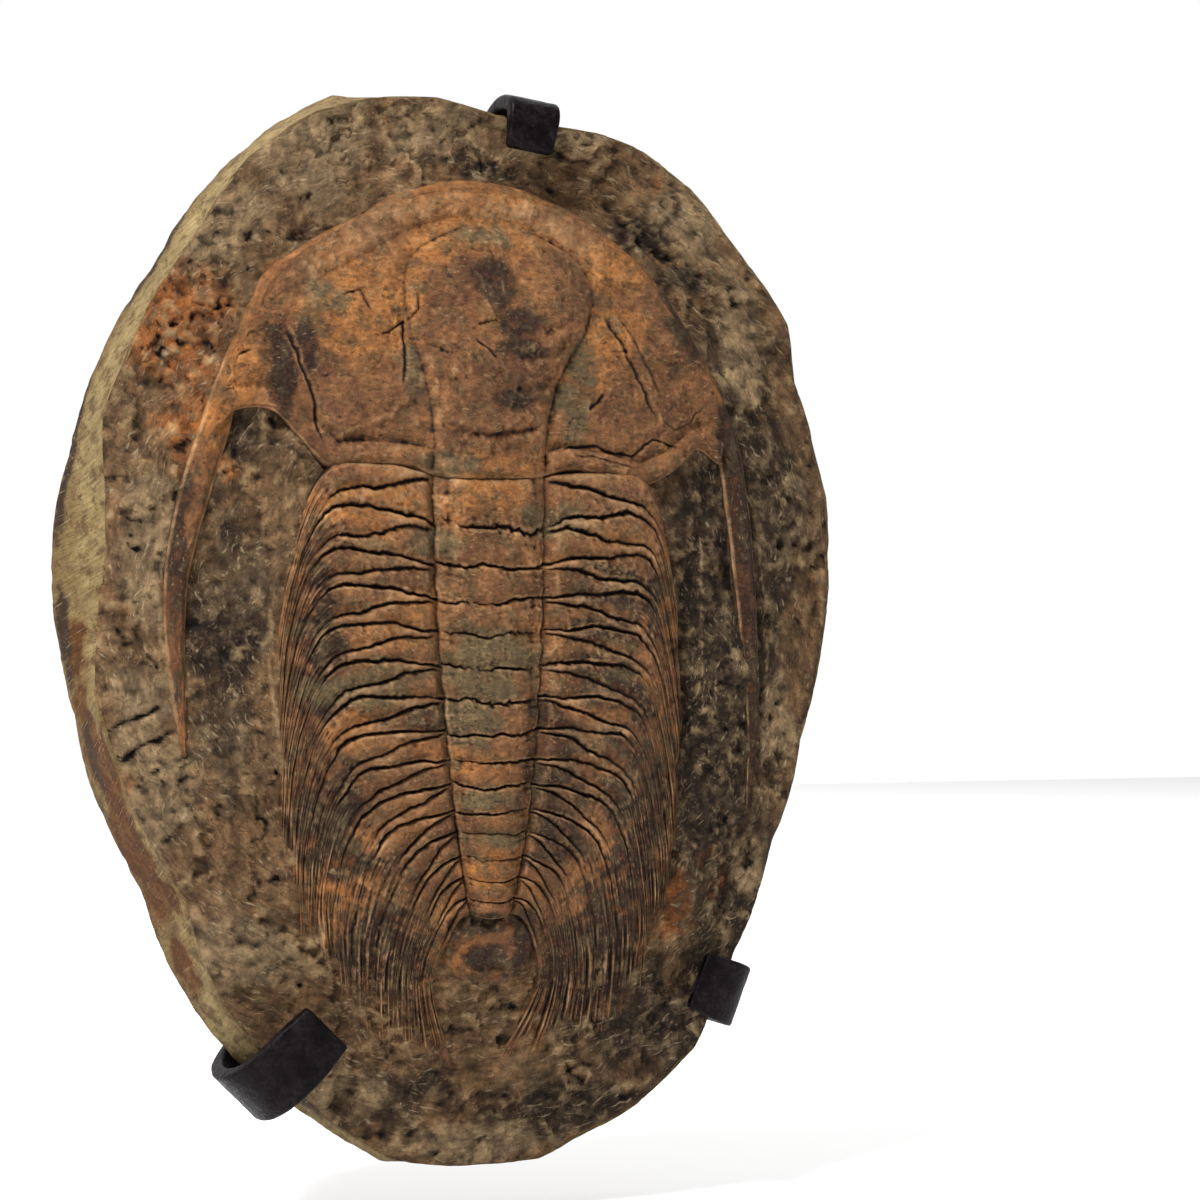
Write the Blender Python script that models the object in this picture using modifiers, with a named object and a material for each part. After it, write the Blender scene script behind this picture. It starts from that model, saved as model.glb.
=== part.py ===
"""Acadoparadoxides trilobite on its slab of matrix, held by a forged iron cradle.

Frame: metres, X to the right seen from the front, Y to the back, Z up. The origin is on the flat
rear face of the cradle's arch, 20 mm above the bolt that goes through the arch. The lists below are
in millimetres, with heights measured from the bolt's axis and depths measured from the arch's rear
face toward the front, so a depth of 70 is at Y = -0.070.
"""

import math

import bmesh
import bpy
import numpy as np
from mathutils import Matrix, Vector

MM = 0.001
BOLT_DROP = 20.0
GAP = 0.3

# Slab: corners of its broken outline as x, height and depth, counterclockwise from the right.
FRONT_EDGE = (
    (170, -22, 55), (173, 13, 54), (172, 39, 54), (166, 63, 53), (157, 90, 53), (154, 116, 52),
    (135, 142, 52), (123, 156, 52), (107, 173, 53), (84, 188, 54), (66, 194, 54), (42, 197, 54),
    (16, 200.5, 54), (-11, 206, 55), (-39, 204, 54), (-64, 197, 54), (-93, 177, 53),
    (-113, 149, 52), (-127, 128, 51), (-143, 96, 50), (-154, 67, 49), (-152, 36, 46),
    (-151, 13, 43), (-155, -20, 41), (-157, -46, 48), (-152, -69, 54), (-144, -89, 57),
    (-121, -131, 57), (-105, -173, 54), (-92, -190, 51), (-56, -227, 47), (-30, -244, 48),
    (-5, -249, 50), (35, -247, 54), (51, -239, 56), (79, -225, 59), (104, -201, 63),
    (121, -160, 67), (140, -112, 67), (154, -68, 64), (163, -46, 59),
)
BACK_EDGE = (
    (165, -20, 25), (169, 25, 25), (159, 72, 25), (144, 124, 26), (109, 165, 28), (58, 187, 33),
    (28, 190, 35), (0, 203, 37), (-31, 208, 36), (-52, 208, 34), (-81, 192, 32), (-100, 175, 30),
    (-130, 131, 27), (-148, 99, 24), (-163, 56, 21), (-169, 21, 20), (-168, -24, 20),
    (-160, -58, 20), (-151, -91, 20), (-133, -129, 23), (-119, -167, 26), (-96, -200, 32),
    (-61, -228, 33), (-30, -248, 33), (0, -249, 33), (57, -233, 30), (103, -198, 27),
    (124, -146, 25), (141, -101, 25), (153, -61, 25),
)
CREST = (
    (-251, 50), (-217, 66), (-182, 78), (-127, 83), (-83, 81), (-20, 74), (58, 73), (141, 65),
    (210, 53),
)
CENTRE_HEIGHT = -20.0
DOME_POWER = 2.4
BACK_DEPTH = 24.6
FRONT_RINGS = (0.2, 0.4, 0.58, 0.73, 0.85, 0.94, 1.0)
BACK_RINGS = (1.0, 0.88, 0.6, 0.3)
SLAB_COLUMNS = 72

# Body of the trilobite: heights of the rear edges of the occipital ring and the 15 segments.
RING_EDGES = (45, 23, 7, -7, -21, -35, -48, -62, -74, -84, -95, -104, -114, -123, -132, -139)
AXIS_X = 5.0
AXIS_HALF_WIDTH = ((0, 24.5), (4, 22.5), (8, 18.5), (12, 13.5), (15, 8.5))
# Each side's segment lines run from the axial furrow over a bend to a spine tip. The bend, the
# middle and the tip of the line are given as x and height by segment number.
LEFT_LINES = {
    "bend": ((0, -64, 47), (4, -65, -21), (7, -60, -68), (9, -51, -96), (12, -25, -127), (15, -13, -149)),
    "middle": ((0, -80, 8), (4, -82, -62), (7, -74, -108), (9, -62, -133), (12, -34, -159), (15, -18, -170)),
    "tip": ((0, -87, -40), (4, -83, -118), (7, -70, -155), (9, -56, -174), (12, -30, -197), (15, -4, -206)),
}
RIGHT_LINES = {
    "bend": ((0, 77, 43), (4, 74, -24), (7, 67, -69), (9, 58, -97), (12, 36, -127), (15, 23, -149)),
    "middle": ((0, 90, 5), (4, 87, -66), (7, 80, -114), (9, 70, -137), (12, 45, -160), (15, 27, -171)),
    "tip": ((0, 93, -40), (4, 91, -115), (7, 84, -158), (9, 73, -179), (12, 46, -202), (15, 13, -206)),
}
LINE_STEPS = (0, 0.2, 0.42, 0.72, 1)
LINE_ARCH = 3.0
ROWS_PER_SEGMENT = 4
PLEURA_COLUMNS = (0.05, 0.2, 0.32, 0.42, 0.56, 0.72, 0.88, 1.0)
AXIS_COLUMNS = (-1.0, -0.66, -0.33, 0.0, 0.33, 0.66, 1.0)
SHEET_ROOT = 14.0

# Head: its rear margin and its front margin, both from left to right, as x and height.
HEAD_REAR = (
    (-112, 60), (-102, 70), (-88, 71), (-76, 60), (-62, 48), (-45, 50), (-28, 57), (-19, 45),
    (5, 43), (29, 45), (36, 52), (55, 46), (75, 41), (90, 48), (104, 58), (113, 52),
)
HEAD_FRONT = (
    (-109, 72), (-102, 90), (-91, 113), (-76, 134), (-56, 147), (-28, 160), (0, 166), (24, 164),
    (50, 154), (72, 140), (89, 121), (103, 98), (112, 78), (116, 64),
)
HEAD_COLUMNS = 34
HEAD_ROWS = 15
# Glabella: middle and half width at each height.
GLABELLA = (
    (44, 5, 25), (60, 5, 25), (85, 7, 30), (110, 11, 40), (125, 12, 42), (140, 12, 34), (152, 12, 10),
)
GLABELLA_FURROWS = (72, 86, 100)

# Raised border of the head and its long spines, from the left spine's tip to the right one's, as
# x, height and half width.
BORDER = (
    (-123, -72, 0.8), (-124.5, -50, 2.6), (-125, -24, 4), (-124, 4, 5), (-120, 27, 6),
    (-115, 47, 6.5), (-109, 65, 6), (-104, 82, 5), (-96, 101, 4.5), (-84, 126, 4.2),
    (-67, 138, 4.2), (-45, 150, 4.2), (-28, 160, 4.2), (-4, 166, 4.2), (24, 164, 4.2),
    (53, 152, 4.2), (81, 130, 4.5), (103, 98, 5), (113, 78, 5.5), (119, 60, 6), (123, 33, 6.2),
    (126, 6, 5.6), (128.5, -22, 4.6), (129, -55, 3.2), (126, -96, 0.8),
)
BORDER_STEPS = 62
BORDER_PROFILE = ((-1.0, -1.5), (-0.65, 1.7), (0.0, 2.7), (0.65, 1.7), (1.0, -1.5))

# Tail plate: x and height of its middle, and its half sizes.
TAIL = (5, -153, 21, 17)

# Cradle: all straps are forged from the same stock.
STRAP_THICKNESS = 7.0
SPINE_SIZE = (22.6, STRAP_THICKNESS)
ARM_SIZE = (27.0, STRAP_THICKNESS)
SPINE_LEAN = 8.0
# Middle lines of the straps, as distance along the strap and depth.
SPINE_LINE = (
    (-173, 20.7), (-72, 20.7), (-58, 17.6), (-42, 11.4), (-27, 6.2), (-14, 3.5), (50, 3.5),
    (60, 4.3), (69, 6.6), (76, 10.6), (80.5, 15.2), (84.5, 19.2), (91, 20.7), (172, 20.7),
    (184, 22.2), (194, 26.6), (201.5, 34), (205.4, 43), (206.4, 52), (203, 65.5), (184.5, 65.5),
)
LEFT_ARM_LINE = (
    (-1, 20.7), (20, 20.5), (60, 18.8), (81, 18.4), (92, 20.6), (99.5, 26.5), (103, 36),
    (103, 46), (100.5, 56), (94.5, 63.5), (86, 67.2), (76, 68), (61, 68),
)
RIGHT_ARM_LINE = (
    (0, 20.7), (100, 20.3), (136, 20.3), (142.5, 22), (146.4, 26.5), (147.7, 33), (147.7, 62),
    (146.5, 69.5), (142, 74.8), (135, 76.5), (124, 76.5),
)
# Each arm's name, line, start on the spine strap and direction in degrees.
ARMS = (
    ("left_arm", LEFT_ARM_LINE, (-21.0, -140.6), 225.0),
    ("right_arm", RIGHT_ARM_LINE, (-17.0, -124.0), -21.6),
)

# Bolt and knob: the bolt goes through the arch into a polished ammonite behind the panel.
BOLT_RADIUS = 3.5
BOLT_HEAD_RADIUS = 9.0
BOLT_HEAD_HEIGHT = 4.5
BOLT_REACH = 22.0
BOLT_SIDES = 20
AMMONITE_FRONT = 10.2
AMMONITE_THICKNESS = 22.0
AMMONITE_X = -4.0
AMMONITE_HEIGHT = -14.0
AMMONITE_RADIUS = 25.2
AMMONITE_GROWTH = 0.075
AMMONITE_BORE = 14.0
AMMONITE_MOUTH = 80.0
# Cross-section of a side, as share of the radius and share of the half thickness.
AMMONITE_PROFILE = ((0.25, 0.62), (0.48, 0.7), (0.72, 1.0), (0.92, 0.72), (1.0, 0.0))
AMMONITE_COLUMNS = 30

COLOURS = {
    "olive_brown_matrix": ((0.115, 0.078, 0.048), 0.85, 0.0),
    "forged_iron": ((0.018, 0.014, 0.015), 0.5, 0.6),
    "black_steel": ((0.02, 0.02, 0.02), 0.4, 0.9),
    "polished_ammonite": ((0.16, 0.055, 0.022), 0.2, 0.0),
}


def clear_scene():
    for obj in list(bpy.data.objects):
        bpy.data.objects.remove(obj)


def new_collection(name, hidden=False):
    collection = bpy.data.collections.new(name)
    bpy.context.scene.collection.children.link(collection)
    collection.hide_render = hidden
    return collection


def new_material(name):
    colour, roughness, metallic = COLOURS[name]
    material = bpy.data.materials.new(name)
    material.use_nodes = True
    shader = material.node_tree.nodes["Principled BSDF"]
    shader.inputs["Base Color"].default_value = (*colour, 1)
    shader.inputs["Roughness"].default_value = roughness
    shader.inputs["Metallic"].default_value = metallic
    return material


def place(x, depth, height):
    """Points in metres from millimetres right of, in front of and above the bolt."""
    x, depth, height = np.broadcast_arrays(x, depth, height)
    return np.stack([x, -depth, height - BOLT_DROP], axis=-1) * MM


def smooth(at, knots, values):
    """Cubic curve through the values at the knots, for one number or a point per knot."""
    knots = np.asarray(knots, float)
    values = np.asarray(values, float)
    slopes = np.gradient(values, knots, axis=0)
    at = np.clip(at, knots[0], knots[-1])
    i = np.clip(np.searchsorted(knots, at, side="right") - 1, 0, len(knots) - 2)
    span = knots[i + 1] - knots[i]
    t = (at - knots[i]) / span
    if values.ndim > 1:
        span = span[..., None]
        t = t[..., None]
    return (
        (1 + 2 * t) * (1 - t) ** 2 * values[i]
        + t * (1 - t) ** 2 * span * slopes[i]
        + t**2 * (3 - 2 * t) * values[i + 1]
        + t**2 * (t - 1) * span * slopes[i + 1]
    )


def step(low, high, value):
    t = np.clip((value - low) / (high - low), 0, 1)
    return t * t * (3 - 2 * t)


def along(points, count):
    """Evenly spaced places on the smooth line through the points."""
    points = np.asarray(points, float)
    lengths = np.linalg.norm(np.diff(points[:, :2], axis=0), axis=1)
    knots = np.concatenate([[0], np.cumsum(lengths)])
    return smooth(np.linspace(0, knots[-1], count), knots, points)


def new_object(name, points, faces, collection, material=None):
    """Mesh object whose faces all point out."""
    mesh = bpy.data.meshes.new(name)
    mesh.from_pydata([tuple(point) for point in points], [], faces)
    shape = bmesh.new()
    shape.from_mesh(mesh)
    bmesh.ops.recalc_face_normals(shape, faces=shape.faces)
    shape.to_mesh(mesh)
    shape.free()
    if material:
        mesh.materials.append(material)
    obj = bpy.data.objects.new(name, mesh)
    collection.objects.link(obj)
    return obj


def ring_body(name, rings, first, last, collection, material=None):
    """Closed body of rings with equal counts, ending in a point on each side."""
    rings = np.asarray(rings)
    rows, count = rings.shape[:2]
    points = [first, *rings.reshape(-1, 3), last]
    faces = []
    for j in range(count):
        k = (j + 1) % count
        faces.append((0, 1 + j, 1 + k))
        for row in range(rows - 1):
            a = 1 + row * count
            b = a + count
            faces.append((a + j, b + j, b + k, a + k))
        end = 1 + (rows - 1) * count
        faces.append((end + j, len(points) - 1, end + k))
    return new_object(name, points, faces, collection, material)


def sheet_body(name, x, height, top, root, collection):
    """Closed body between a gridded surface and the same grid at the root depth."""
    rows, columns = x.shape
    points = np.concatenate([place(x, top, height).reshape(-1, 3), place(x, root, height).reshape(-1, 3)])
    under = rows * columns
    faces = []
    for i in range(rows - 1):
        for j in range(columns - 1):
            a = i * columns + j
            quad = (a, a + 1, a + columns + 1, a + columns)
            faces.append(quad)
            faces.append(tuple(under + k for k in reversed(quad)))
    rim = [j for j in range(columns)]
    rim += [i * columns + columns - 1 for i in range(1, rows)]
    rim += [(rows - 1) * columns + j for j in range(columns - 2, -1, -1)]
    rim += [i * columns for i in range(rows - 2, 0, -1)]
    for a, b in zip(rim, rim[1:] + rim[:1]):
        faces.append((b, a, under + a, under + b))
    return new_object(name, points, faces, collection)


def edge_at(corners, angle):
    """Radius and depth of an outline at angles around the slab's centre."""
    x, height, depth = np.array(corners, float).T
    around = np.arctan2(height - CENTRE_HEIGHT, x)
    radius = np.hypot(x, height - CENTRE_HEIGHT)
    turn = 2 * math.pi
    return np.interp(angle, around, radius, period=turn), np.interp(angle, around, depth, period=turn)


def front_depth(x, height):
    """Depth of the slab's domed front, which falls from a crest line to the broken edge."""
    angle = np.arctan2(height - CENTRE_HEIGHT, x)
    radius, rim = edge_at(FRONT_EDGE, angle)
    share = np.clip(np.hypot(x, height - CENTRE_HEIGHT) / radius, 0, 1)
    crest = smooth(height, *np.array(CREST, float).T)
    return rim + (crest - rim) * (1 - share**DOME_POWER)


def make_slab(collection, material):
    angle = np.arange(SLAB_COLUMNS) * 2 * math.pi / SLAB_COLUMNS
    front_radius, front_rim = edge_at(FRONT_EDGE, angle)
    back_radius, back_rim = edge_at(BACK_EDGE, angle)
    rings = []
    for share in FRONT_RINGS:
        x = share * front_radius * np.cos(angle)
        height = CENTRE_HEIGHT + share * front_radius * np.sin(angle)
        rings.append(place(x, front_depth(x, height), height))
    for share in BACK_RINGS:
        x = share * back_radius * np.cos(angle)
        height = CENTRE_HEIGHT + share * back_radius * np.sin(angle)
        rings.append(place(x, BACK_DEPTH + (back_rim - BACK_DEPTH) * share**4, height))
    first = place(0, front_depth(np.array(0.0), np.array(CENTRE_HEIGHT)), CENTRE_HEIGHT)
    last = place(0, BACK_DEPTH, CENTRE_HEIGHT)
    return ring_body("fossil_slab", rings, first, last, collection, material)


def segment_line(lines, side, s, p):
    """Places on a side's segment lines: s counts segments, p runs from furrow to spine tip."""
    edge = smooth(s, np.arange(len(RING_EDGES)), RING_EDGES)
    half = smooth(s, *np.array(AXIS_HALF_WIDTH, float).T)
    start = np.stack([AXIS_X + side * half, edge], axis=-1)
    knots = {}
    for name, rows in lines.items():
        rows = np.array(rows, float)
        knots[name] = smooth(s, rows[:, 0], rows[:, 1:])
    arch = (start + knots["bend"]) / 2 + (0, LINE_ARCH)
    points = np.stack([start, arch, knots["bend"], knots["middle"], knots["tip"]])
    weights = smooth(p, LINE_STEPS, np.eye(len(LINE_STEPS)))
    return np.einsum("...k,k...c->...c", weights, points)


def pleura_relief(s, g, p):
    """Height of a side lobe over the slab: two bands and a furrow per segment, then one spine."""
    rise = 3.4 * step(0.0, 0.07, p) * (1 - step(0.42, 1.0, p)) + 1.2 * step(0.3, 0.5, p)
    bands = 1.9 * np.sin(2 * math.pi * g) ** 2 - 1.3 * np.abs(np.cos(math.pi * g)) ** 6
    spine = 1.7 * np.sin(math.pi * g) - 0.6
    past_bend = step(0.4, 0.62, p)
    relief = rise + (1 - past_bend) * bands * step(0.0, 0.06, p) + past_bend * spine
    dive = 4.0 * step(0.8, 1.0, p) + 4.0 * step(0.35, 0.6, p) * (1 - step(0.0, 0.7, s))
    return relief * (1 - 0.25 * s / 15) - dive


def axis_relief(s, g, tau):
    """Height of the middle lobe over the slab: one ring per segment with a crack between."""
    crown = 6.2 * (1 - np.abs(tau) ** 2.2)
    ring = 1.6 * np.sin(math.pi * g) ** 0.6 - 1.4
    return (crown + ring * (1 - np.abs(tau) ** 4)) * (1 - 0.3 * s / 15) + 0.3


def make_thorax(collection):
    segments = len(RING_EDGES) - 1
    g = np.arange(segments * ROWS_PER_SEGMENT + 1) / ROWS_PER_SEGMENT
    whole = np.minimum(np.floor(g), segments - 1)
    g = g - whole
    columns_x = []
    columns_height = []
    columns_top = []

    def add_column(x, height, relief):
        columns_x.append(x)
        columns_height.append(height)
        columns_top.append(front_depth(x, height) + relief)

    def add_side(lines, side, shares):
        for share in shares:
            p = np.full(g.shape, share)
            furrow = 0.5 + 0.16 * (step(0.05, 0.42, p) * 2 - 1) * (1 - step(0.42, 0.6, p))
            s = whole + g + (furrow - 0.5) * np.sin(math.pi * g) ** 2
            x, height = np.moveaxis(segment_line(lines, side, s, p), -1, 0)
            add_column(x, height, pleura_relief(s, g, p))

    add_side(LEFT_LINES, -1, reversed(PLEURA_COLUMNS))
    for tau in AXIS_COLUMNS:
        s = whole + g
        half = smooth(s, *np.array(AXIS_HALF_WIDTH, float).T)
        height = smooth(s, np.arange(segments + 1), RING_EDGES) - 2.0 * (1 - tau**2)
        add_column(AXIS_X + tau * half, height, axis_relief(s, g, np.full(g.shape, tau)))
    add_side(RIGHT_LINES, 1, PLEURA_COLUMNS)
    x = np.stack(columns_x, axis=1)
    height = np.stack(columns_height, axis=1)
    top = np.stack(columns_top, axis=1)
    return sheet_body("thorax_form", x, height, top, front_depth(x, height) - SHEET_ROOT, collection)


def head_relief(x, height, v):
    """Height of the head over the slab: swollen cheeks, a raised glabella and its furrows."""
    middle, half = smooth(height, [row[0] for row in GLABELLA], [row[1:] for row in GLABELLA]).T
    middle, half = middle.T, half.T
    out = np.abs(x - middle) / half
    cheek = 2.0 + 2.6 * np.sin(math.pi * np.clip(v, 0, 1)) ** 0.7
    swell = 5.2 * np.clip(1 - out**2.6, 0, 1) ** 0.6 * (1 - step(142, 153, height))
    groove = 1.6 * np.exp(-(((out - 1.08) / 0.12) ** 2)) * step(154, 140, height)
    neck = 1.6 * np.exp(-(((height - 60) / 2.5) ** 2)) * (out < 1.1)
    lobes = 0.0
    for at in GLABELLA_FURROWS:
        furrow = np.exp(-(((height - at + 4 * out) / 2.2) ** 2))
        lobes = lobes + 1.2 * furrow * step(0.2, 0.7, out) * (out < 1)
    rear = 1.4 * np.exp(-(((v - 0.13) / 0.05) ** 2)) * (out > 1.1)
    return cheek + swell - groove - neck - lobes - rear


def make_head(collection):
    rear = along(HEAD_REAR, HEAD_COLUMNS + 1)
    front = along(HEAD_FRONT, HEAD_COLUMNS + 1)
    v = np.linspace(0, 1, HEAD_ROWS + 1)[:, None]
    x = rear[:, 0] + v * (front[:, 0] - rear[:, 0])
    height = rear[:, 1] + v * (front[:, 1] - rear[:, 1])
    under = front_depth(x, height)
    top = under + head_relief(x, height, v)
    return sheet_body("head_form", x, height, top, under - SHEET_ROOT, collection)


def make_border(collection):
    line = along(BORDER, BORDER_STEPS + 1)
    forward = np.gradient(line[:, :2], axis=0)
    forward /= np.linalg.norm(forward, axis=1, keepdims=True)
    across = np.stack([-forward[:, 1], forward[:, 0]], axis=1)
    share, lift = np.array(BORDER_PROFILE).T
    half = line[:, 2:]
    x = line[:, :1] + across[:, :1] * half * share
    height = line[:, 1:2] + across[:, 1:] * half * share
    under = front_depth(x, height)
    rise = np.clip(half / 4.0, 0, 1)
    top = under + lift * rise - 1.5 * (1 - rise)
    return sheet_body("border_form", x, height, top, under - SHEET_ROOT, collection)


def make_tail(collection):
    middle_x, middle_height, half_x, half_height = TAIL
    angle = np.arange(20) * 2 * math.pi / 20
    rings = []
    for share, rise in ((0.35, 5.6), (0.7, 4.8), (0.92, 3.0), (1.0, -1.5), (1.0, -SHEET_ROOT)):
        x = middle_x + share * half_x * np.cos(angle)
        height = middle_height + share * half_height * np.sin(angle)
        rings.append(place(x, front_depth(x, height) + rise, height))
    depth = front_depth(np.array(float(middle_x)), np.array(float(middle_height)))
    first = place(middle_x, depth + 5.8, middle_height)
    last = place(middle_x, depth - SHEET_ROOT, middle_height)
    return ring_body("tail_form", rings, first, last, collection)


def hide_helper(obj):
    obj.hide_render = True
    obj.display_type = "WIRE"


def combine(obj, other, operation):
    modifier = obj.modifiers.new(f"{operation.lower()} {other.name}", "BOOLEAN")
    modifier.operation = operation
    modifier.object = other
    hide_helper(other)


def offset_line(line, distance):
    """The line moved sideways, with mitred corners."""
    line = np.asarray(line, float)
    steps = np.diff(line, axis=0)
    steps /= np.linalg.norm(steps, axis=1, keepdims=True)
    normals = np.stack([-steps[:, 1], steps[:, 0]], axis=1)
    first = np.concatenate([normals[:1], normals])
    second = np.concatenate([normals, normals[-1:]])
    mitre = first + second
    mitre *= 2 / np.sum(mitre**2, axis=1, keepdims=True)
    return line + distance * mitre


def make_strap(name, line, start, aim, size, collection, material):
    """Strap bent from flat bar of a width and thickness: its side outline, extruded over its width."""
    width, thickness = size
    half = thickness / 2
    outline = np.concatenate([offset_line(line, half), offset_line(line, -half)[::-1]])
    curve = bpy.data.curves.new(name, "CURVE")
    curve.dimensions = "2D"
    curve.fill_mode = "BOTH"
    curve.extrude = width / 2 * MM
    spline = curve.splines.new("POLY")
    spline.points.add(len(outline) - 1)
    for point, (reach, depth) in zip(spline.points, outline * MM):
        point.co = (reach, depth, 0, 1)
    spline.use_cyclic_u = True
    flat = bpy.data.objects.new(name, curve)
    mesh = bpy.data.meshes.new_from_object(flat)
    bpy.data.objects.remove(flat)
    shape = bmesh.new()
    shape.from_mesh(mesh)
    bmesh.ops.remove_doubles(shape, verts=shape.verts, dist=1e-6)
    reach_axis = Vector((math.cos(aim), 0, math.sin(aim)))
    depth_axis = Vector((0, -1, 0))
    turn = Matrix((reach_axis, depth_axis, reach_axis.cross(depth_axis))).transposed().to_4x4()
    shift = Matrix.Translation(Vector(place(start[0], 0, start[1])))
    bmesh.ops.transform(shape, matrix=shift @ turn, verts=shape.verts)
    bmesh.ops.recalc_face_normals(shape, faces=shape.faces)
    shape.to_mesh(mesh)
    shape.free()
    mesh.materials.append(material)
    strap = bpy.data.objects.new(name, mesh)
    collection.objects.link(strap)
    return strap


def soften(obj, width):
    bevel = obj.modifiers.new("worn edges", "BEVEL")
    bevel.width = width * MM
    bevel.segments = 1
    bevel.limit_method = "ANGLE"
    bevel.angle_limit = math.radians(50)


def round_bar(name, radius, near, far, collection):
    """Cylinder along Y between two depths, on the bolt's axis."""
    bpy.ops.mesh.primitive_cylinder_add(
        vertices=BOLT_SIDES,
        radius=radius * MM,
        depth=(far - near) * MM,
        location=place(0, (near + far) / 2, 0),
        rotation=(math.pi / 2, 0, 0),
    )
    bar = bpy.context.object
    bar.name = name
    for home in list(bar.users_collection):
        home.objects.unlink(bar)
    collection.objects.link(bar)
    return bar


def make_cradle(collection, cutters, material):
    upright = math.radians(90 - SPINE_LEAN)
    spine = make_strap("spine_strap", SPINE_LINE, (0, 0), upright, SPINE_SIZE, collection, material)
    hole = round_bar("bolt_hole", BOLT_RADIUS + GAP, -STRAP_THICKNESS, 3 * STRAP_THICKNESS, cutters)
    combine(spine, hole, "DIFFERENCE")
    soften(spine, 0.7)
    foot, depth = SPINE_LINE[0]
    room_line = ((foot - GAP, depth), (SPINE_LINE[1][0] - GAP, depth))
    room_size = (SPINE_SIZE[0] + 2 * GAP, 3 * STRAP_THICKNESS)
    room = make_strap("spine_room", room_line, (0, 0), upright, room_size, cutters, material)
    for name, line, start, degrees in ARMS:
        arm = make_strap(name, line, start, math.radians(degrees), ARM_SIZE, collection, material)
        combine(arm, room, "DIFFERENCE")
        soften(arm, 0.7)


def make_bolt(collection, material):
    """Domed head in front of the arch and a long shank out of its back, turned about Y."""
    head = STRAP_THICKNESS + GAP
    profile = [(0.0, head + BOLT_HEAD_HEIGHT)]
    for turn in (30, 60, 85):
        angle = math.radians(turn)
        profile.append((BOLT_HEAD_RADIUS * math.sin(angle), head + BOLT_HEAD_HEIGHT * math.cos(angle)))
    profile += [(BOLT_HEAD_RADIUS, head), (BOLT_RADIUS, head), (BOLT_RADIUS, 1 - BOLT_REACH)]
    profile += [(BOLT_RADIUS - 1, -BOLT_REACH), (0.0, -BOLT_REACH)]
    angle = np.arange(BOLT_SIDES) * 2 * math.pi / BOLT_SIDES
    rings = []
    for radius, depth in profile[1:-1]:
        rings.append(place(radius * np.cos(angle), depth, radius * np.sin(angle)))
    ring_body(
        "bolt", rings, place(0, profile[0][1], 0), place(0, profile[-1][1], 0), collection, material
    )


def make_ammonite(collection, cutters, material):
    """Flat-coiled shell: a spiral outline with a step at the mouth, and a thick rounded outer whorl."""
    turn = np.arange(AMMONITE_COLUMNS) / AMMONITE_COLUMNS
    angle = math.radians(AMMONITE_MOUTH) - turn * 2 * math.pi
    outer = AMMONITE_RADIUS * np.exp(AMMONITE_GROWTH * 2 * math.pi * (1 - turn))
    middle = AMMONITE_FRONT + AMMONITE_THICKNESS / 2
    fullness = 1 - 0.28 * turn
    rings = []
    for face in (1, -1):
        sides = AMMONITE_PROFILE if face > 0 else AMMONITE_PROFILE[-2::-1]
        for share, swell in sides:
            side = face * swell * fullness * AMMONITE_THICKNESS / 2
            x = AMMONITE_X + share * outer * np.cos(angle)
            rings.append(place(x, side - middle, AMMONITE_HEIGHT + share * outer * np.sin(angle)))
    dimple = AMMONITE_PROFILE[0][1] * AMMONITE_THICKNESS / 2
    first = place(AMMONITE_X, dimple - middle, AMMONITE_HEIGHT)
    last = place(AMMONITE_X, -dimple - middle, AMMONITE_HEIGHT)
    shell = ring_body("ammonite_knob", rings, first, last, collection, material)
    near = AMMONITE_FRONT - 5
    far = AMMONITE_FRONT + AMMONITE_BORE
    bore = round_bar("knob_bore", BOLT_RADIUS + GAP, -far, -near, cutters)
    combine(shell, bore, "DIFFERENCE")


def make_fossil(collection, forms, material):
    slab = make_slab(collection, material)
    for form in (make_thorax(forms), make_head(forms), make_border(forms), make_tail(forms)):
        combine(slab, form, "UNION")


def main():
    clear_scene()
    parts = new_collection("trilobite_slab_in_cradle")
    helpers = new_collection("cutters", hidden=True)
    make_fossil(parts, helpers, new_material("olive_brown_matrix"))
    make_cradle(parts, helpers, new_material("forged_iron"))
    make_bolt(parts, new_material("black_steel"))
    make_ammonite(parts, helpers, new_material("polished_ammonite"))


main()
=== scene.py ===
"""Looks of the trilobite on its slab of matrix, held by a forged iron cradle.

Lists are in millimetres: x to the right, heights measured from the bolt's axis and depths measured
from the rear face of the cradle's arch toward the front. place() turns them into metres.
"""

import math

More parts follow.
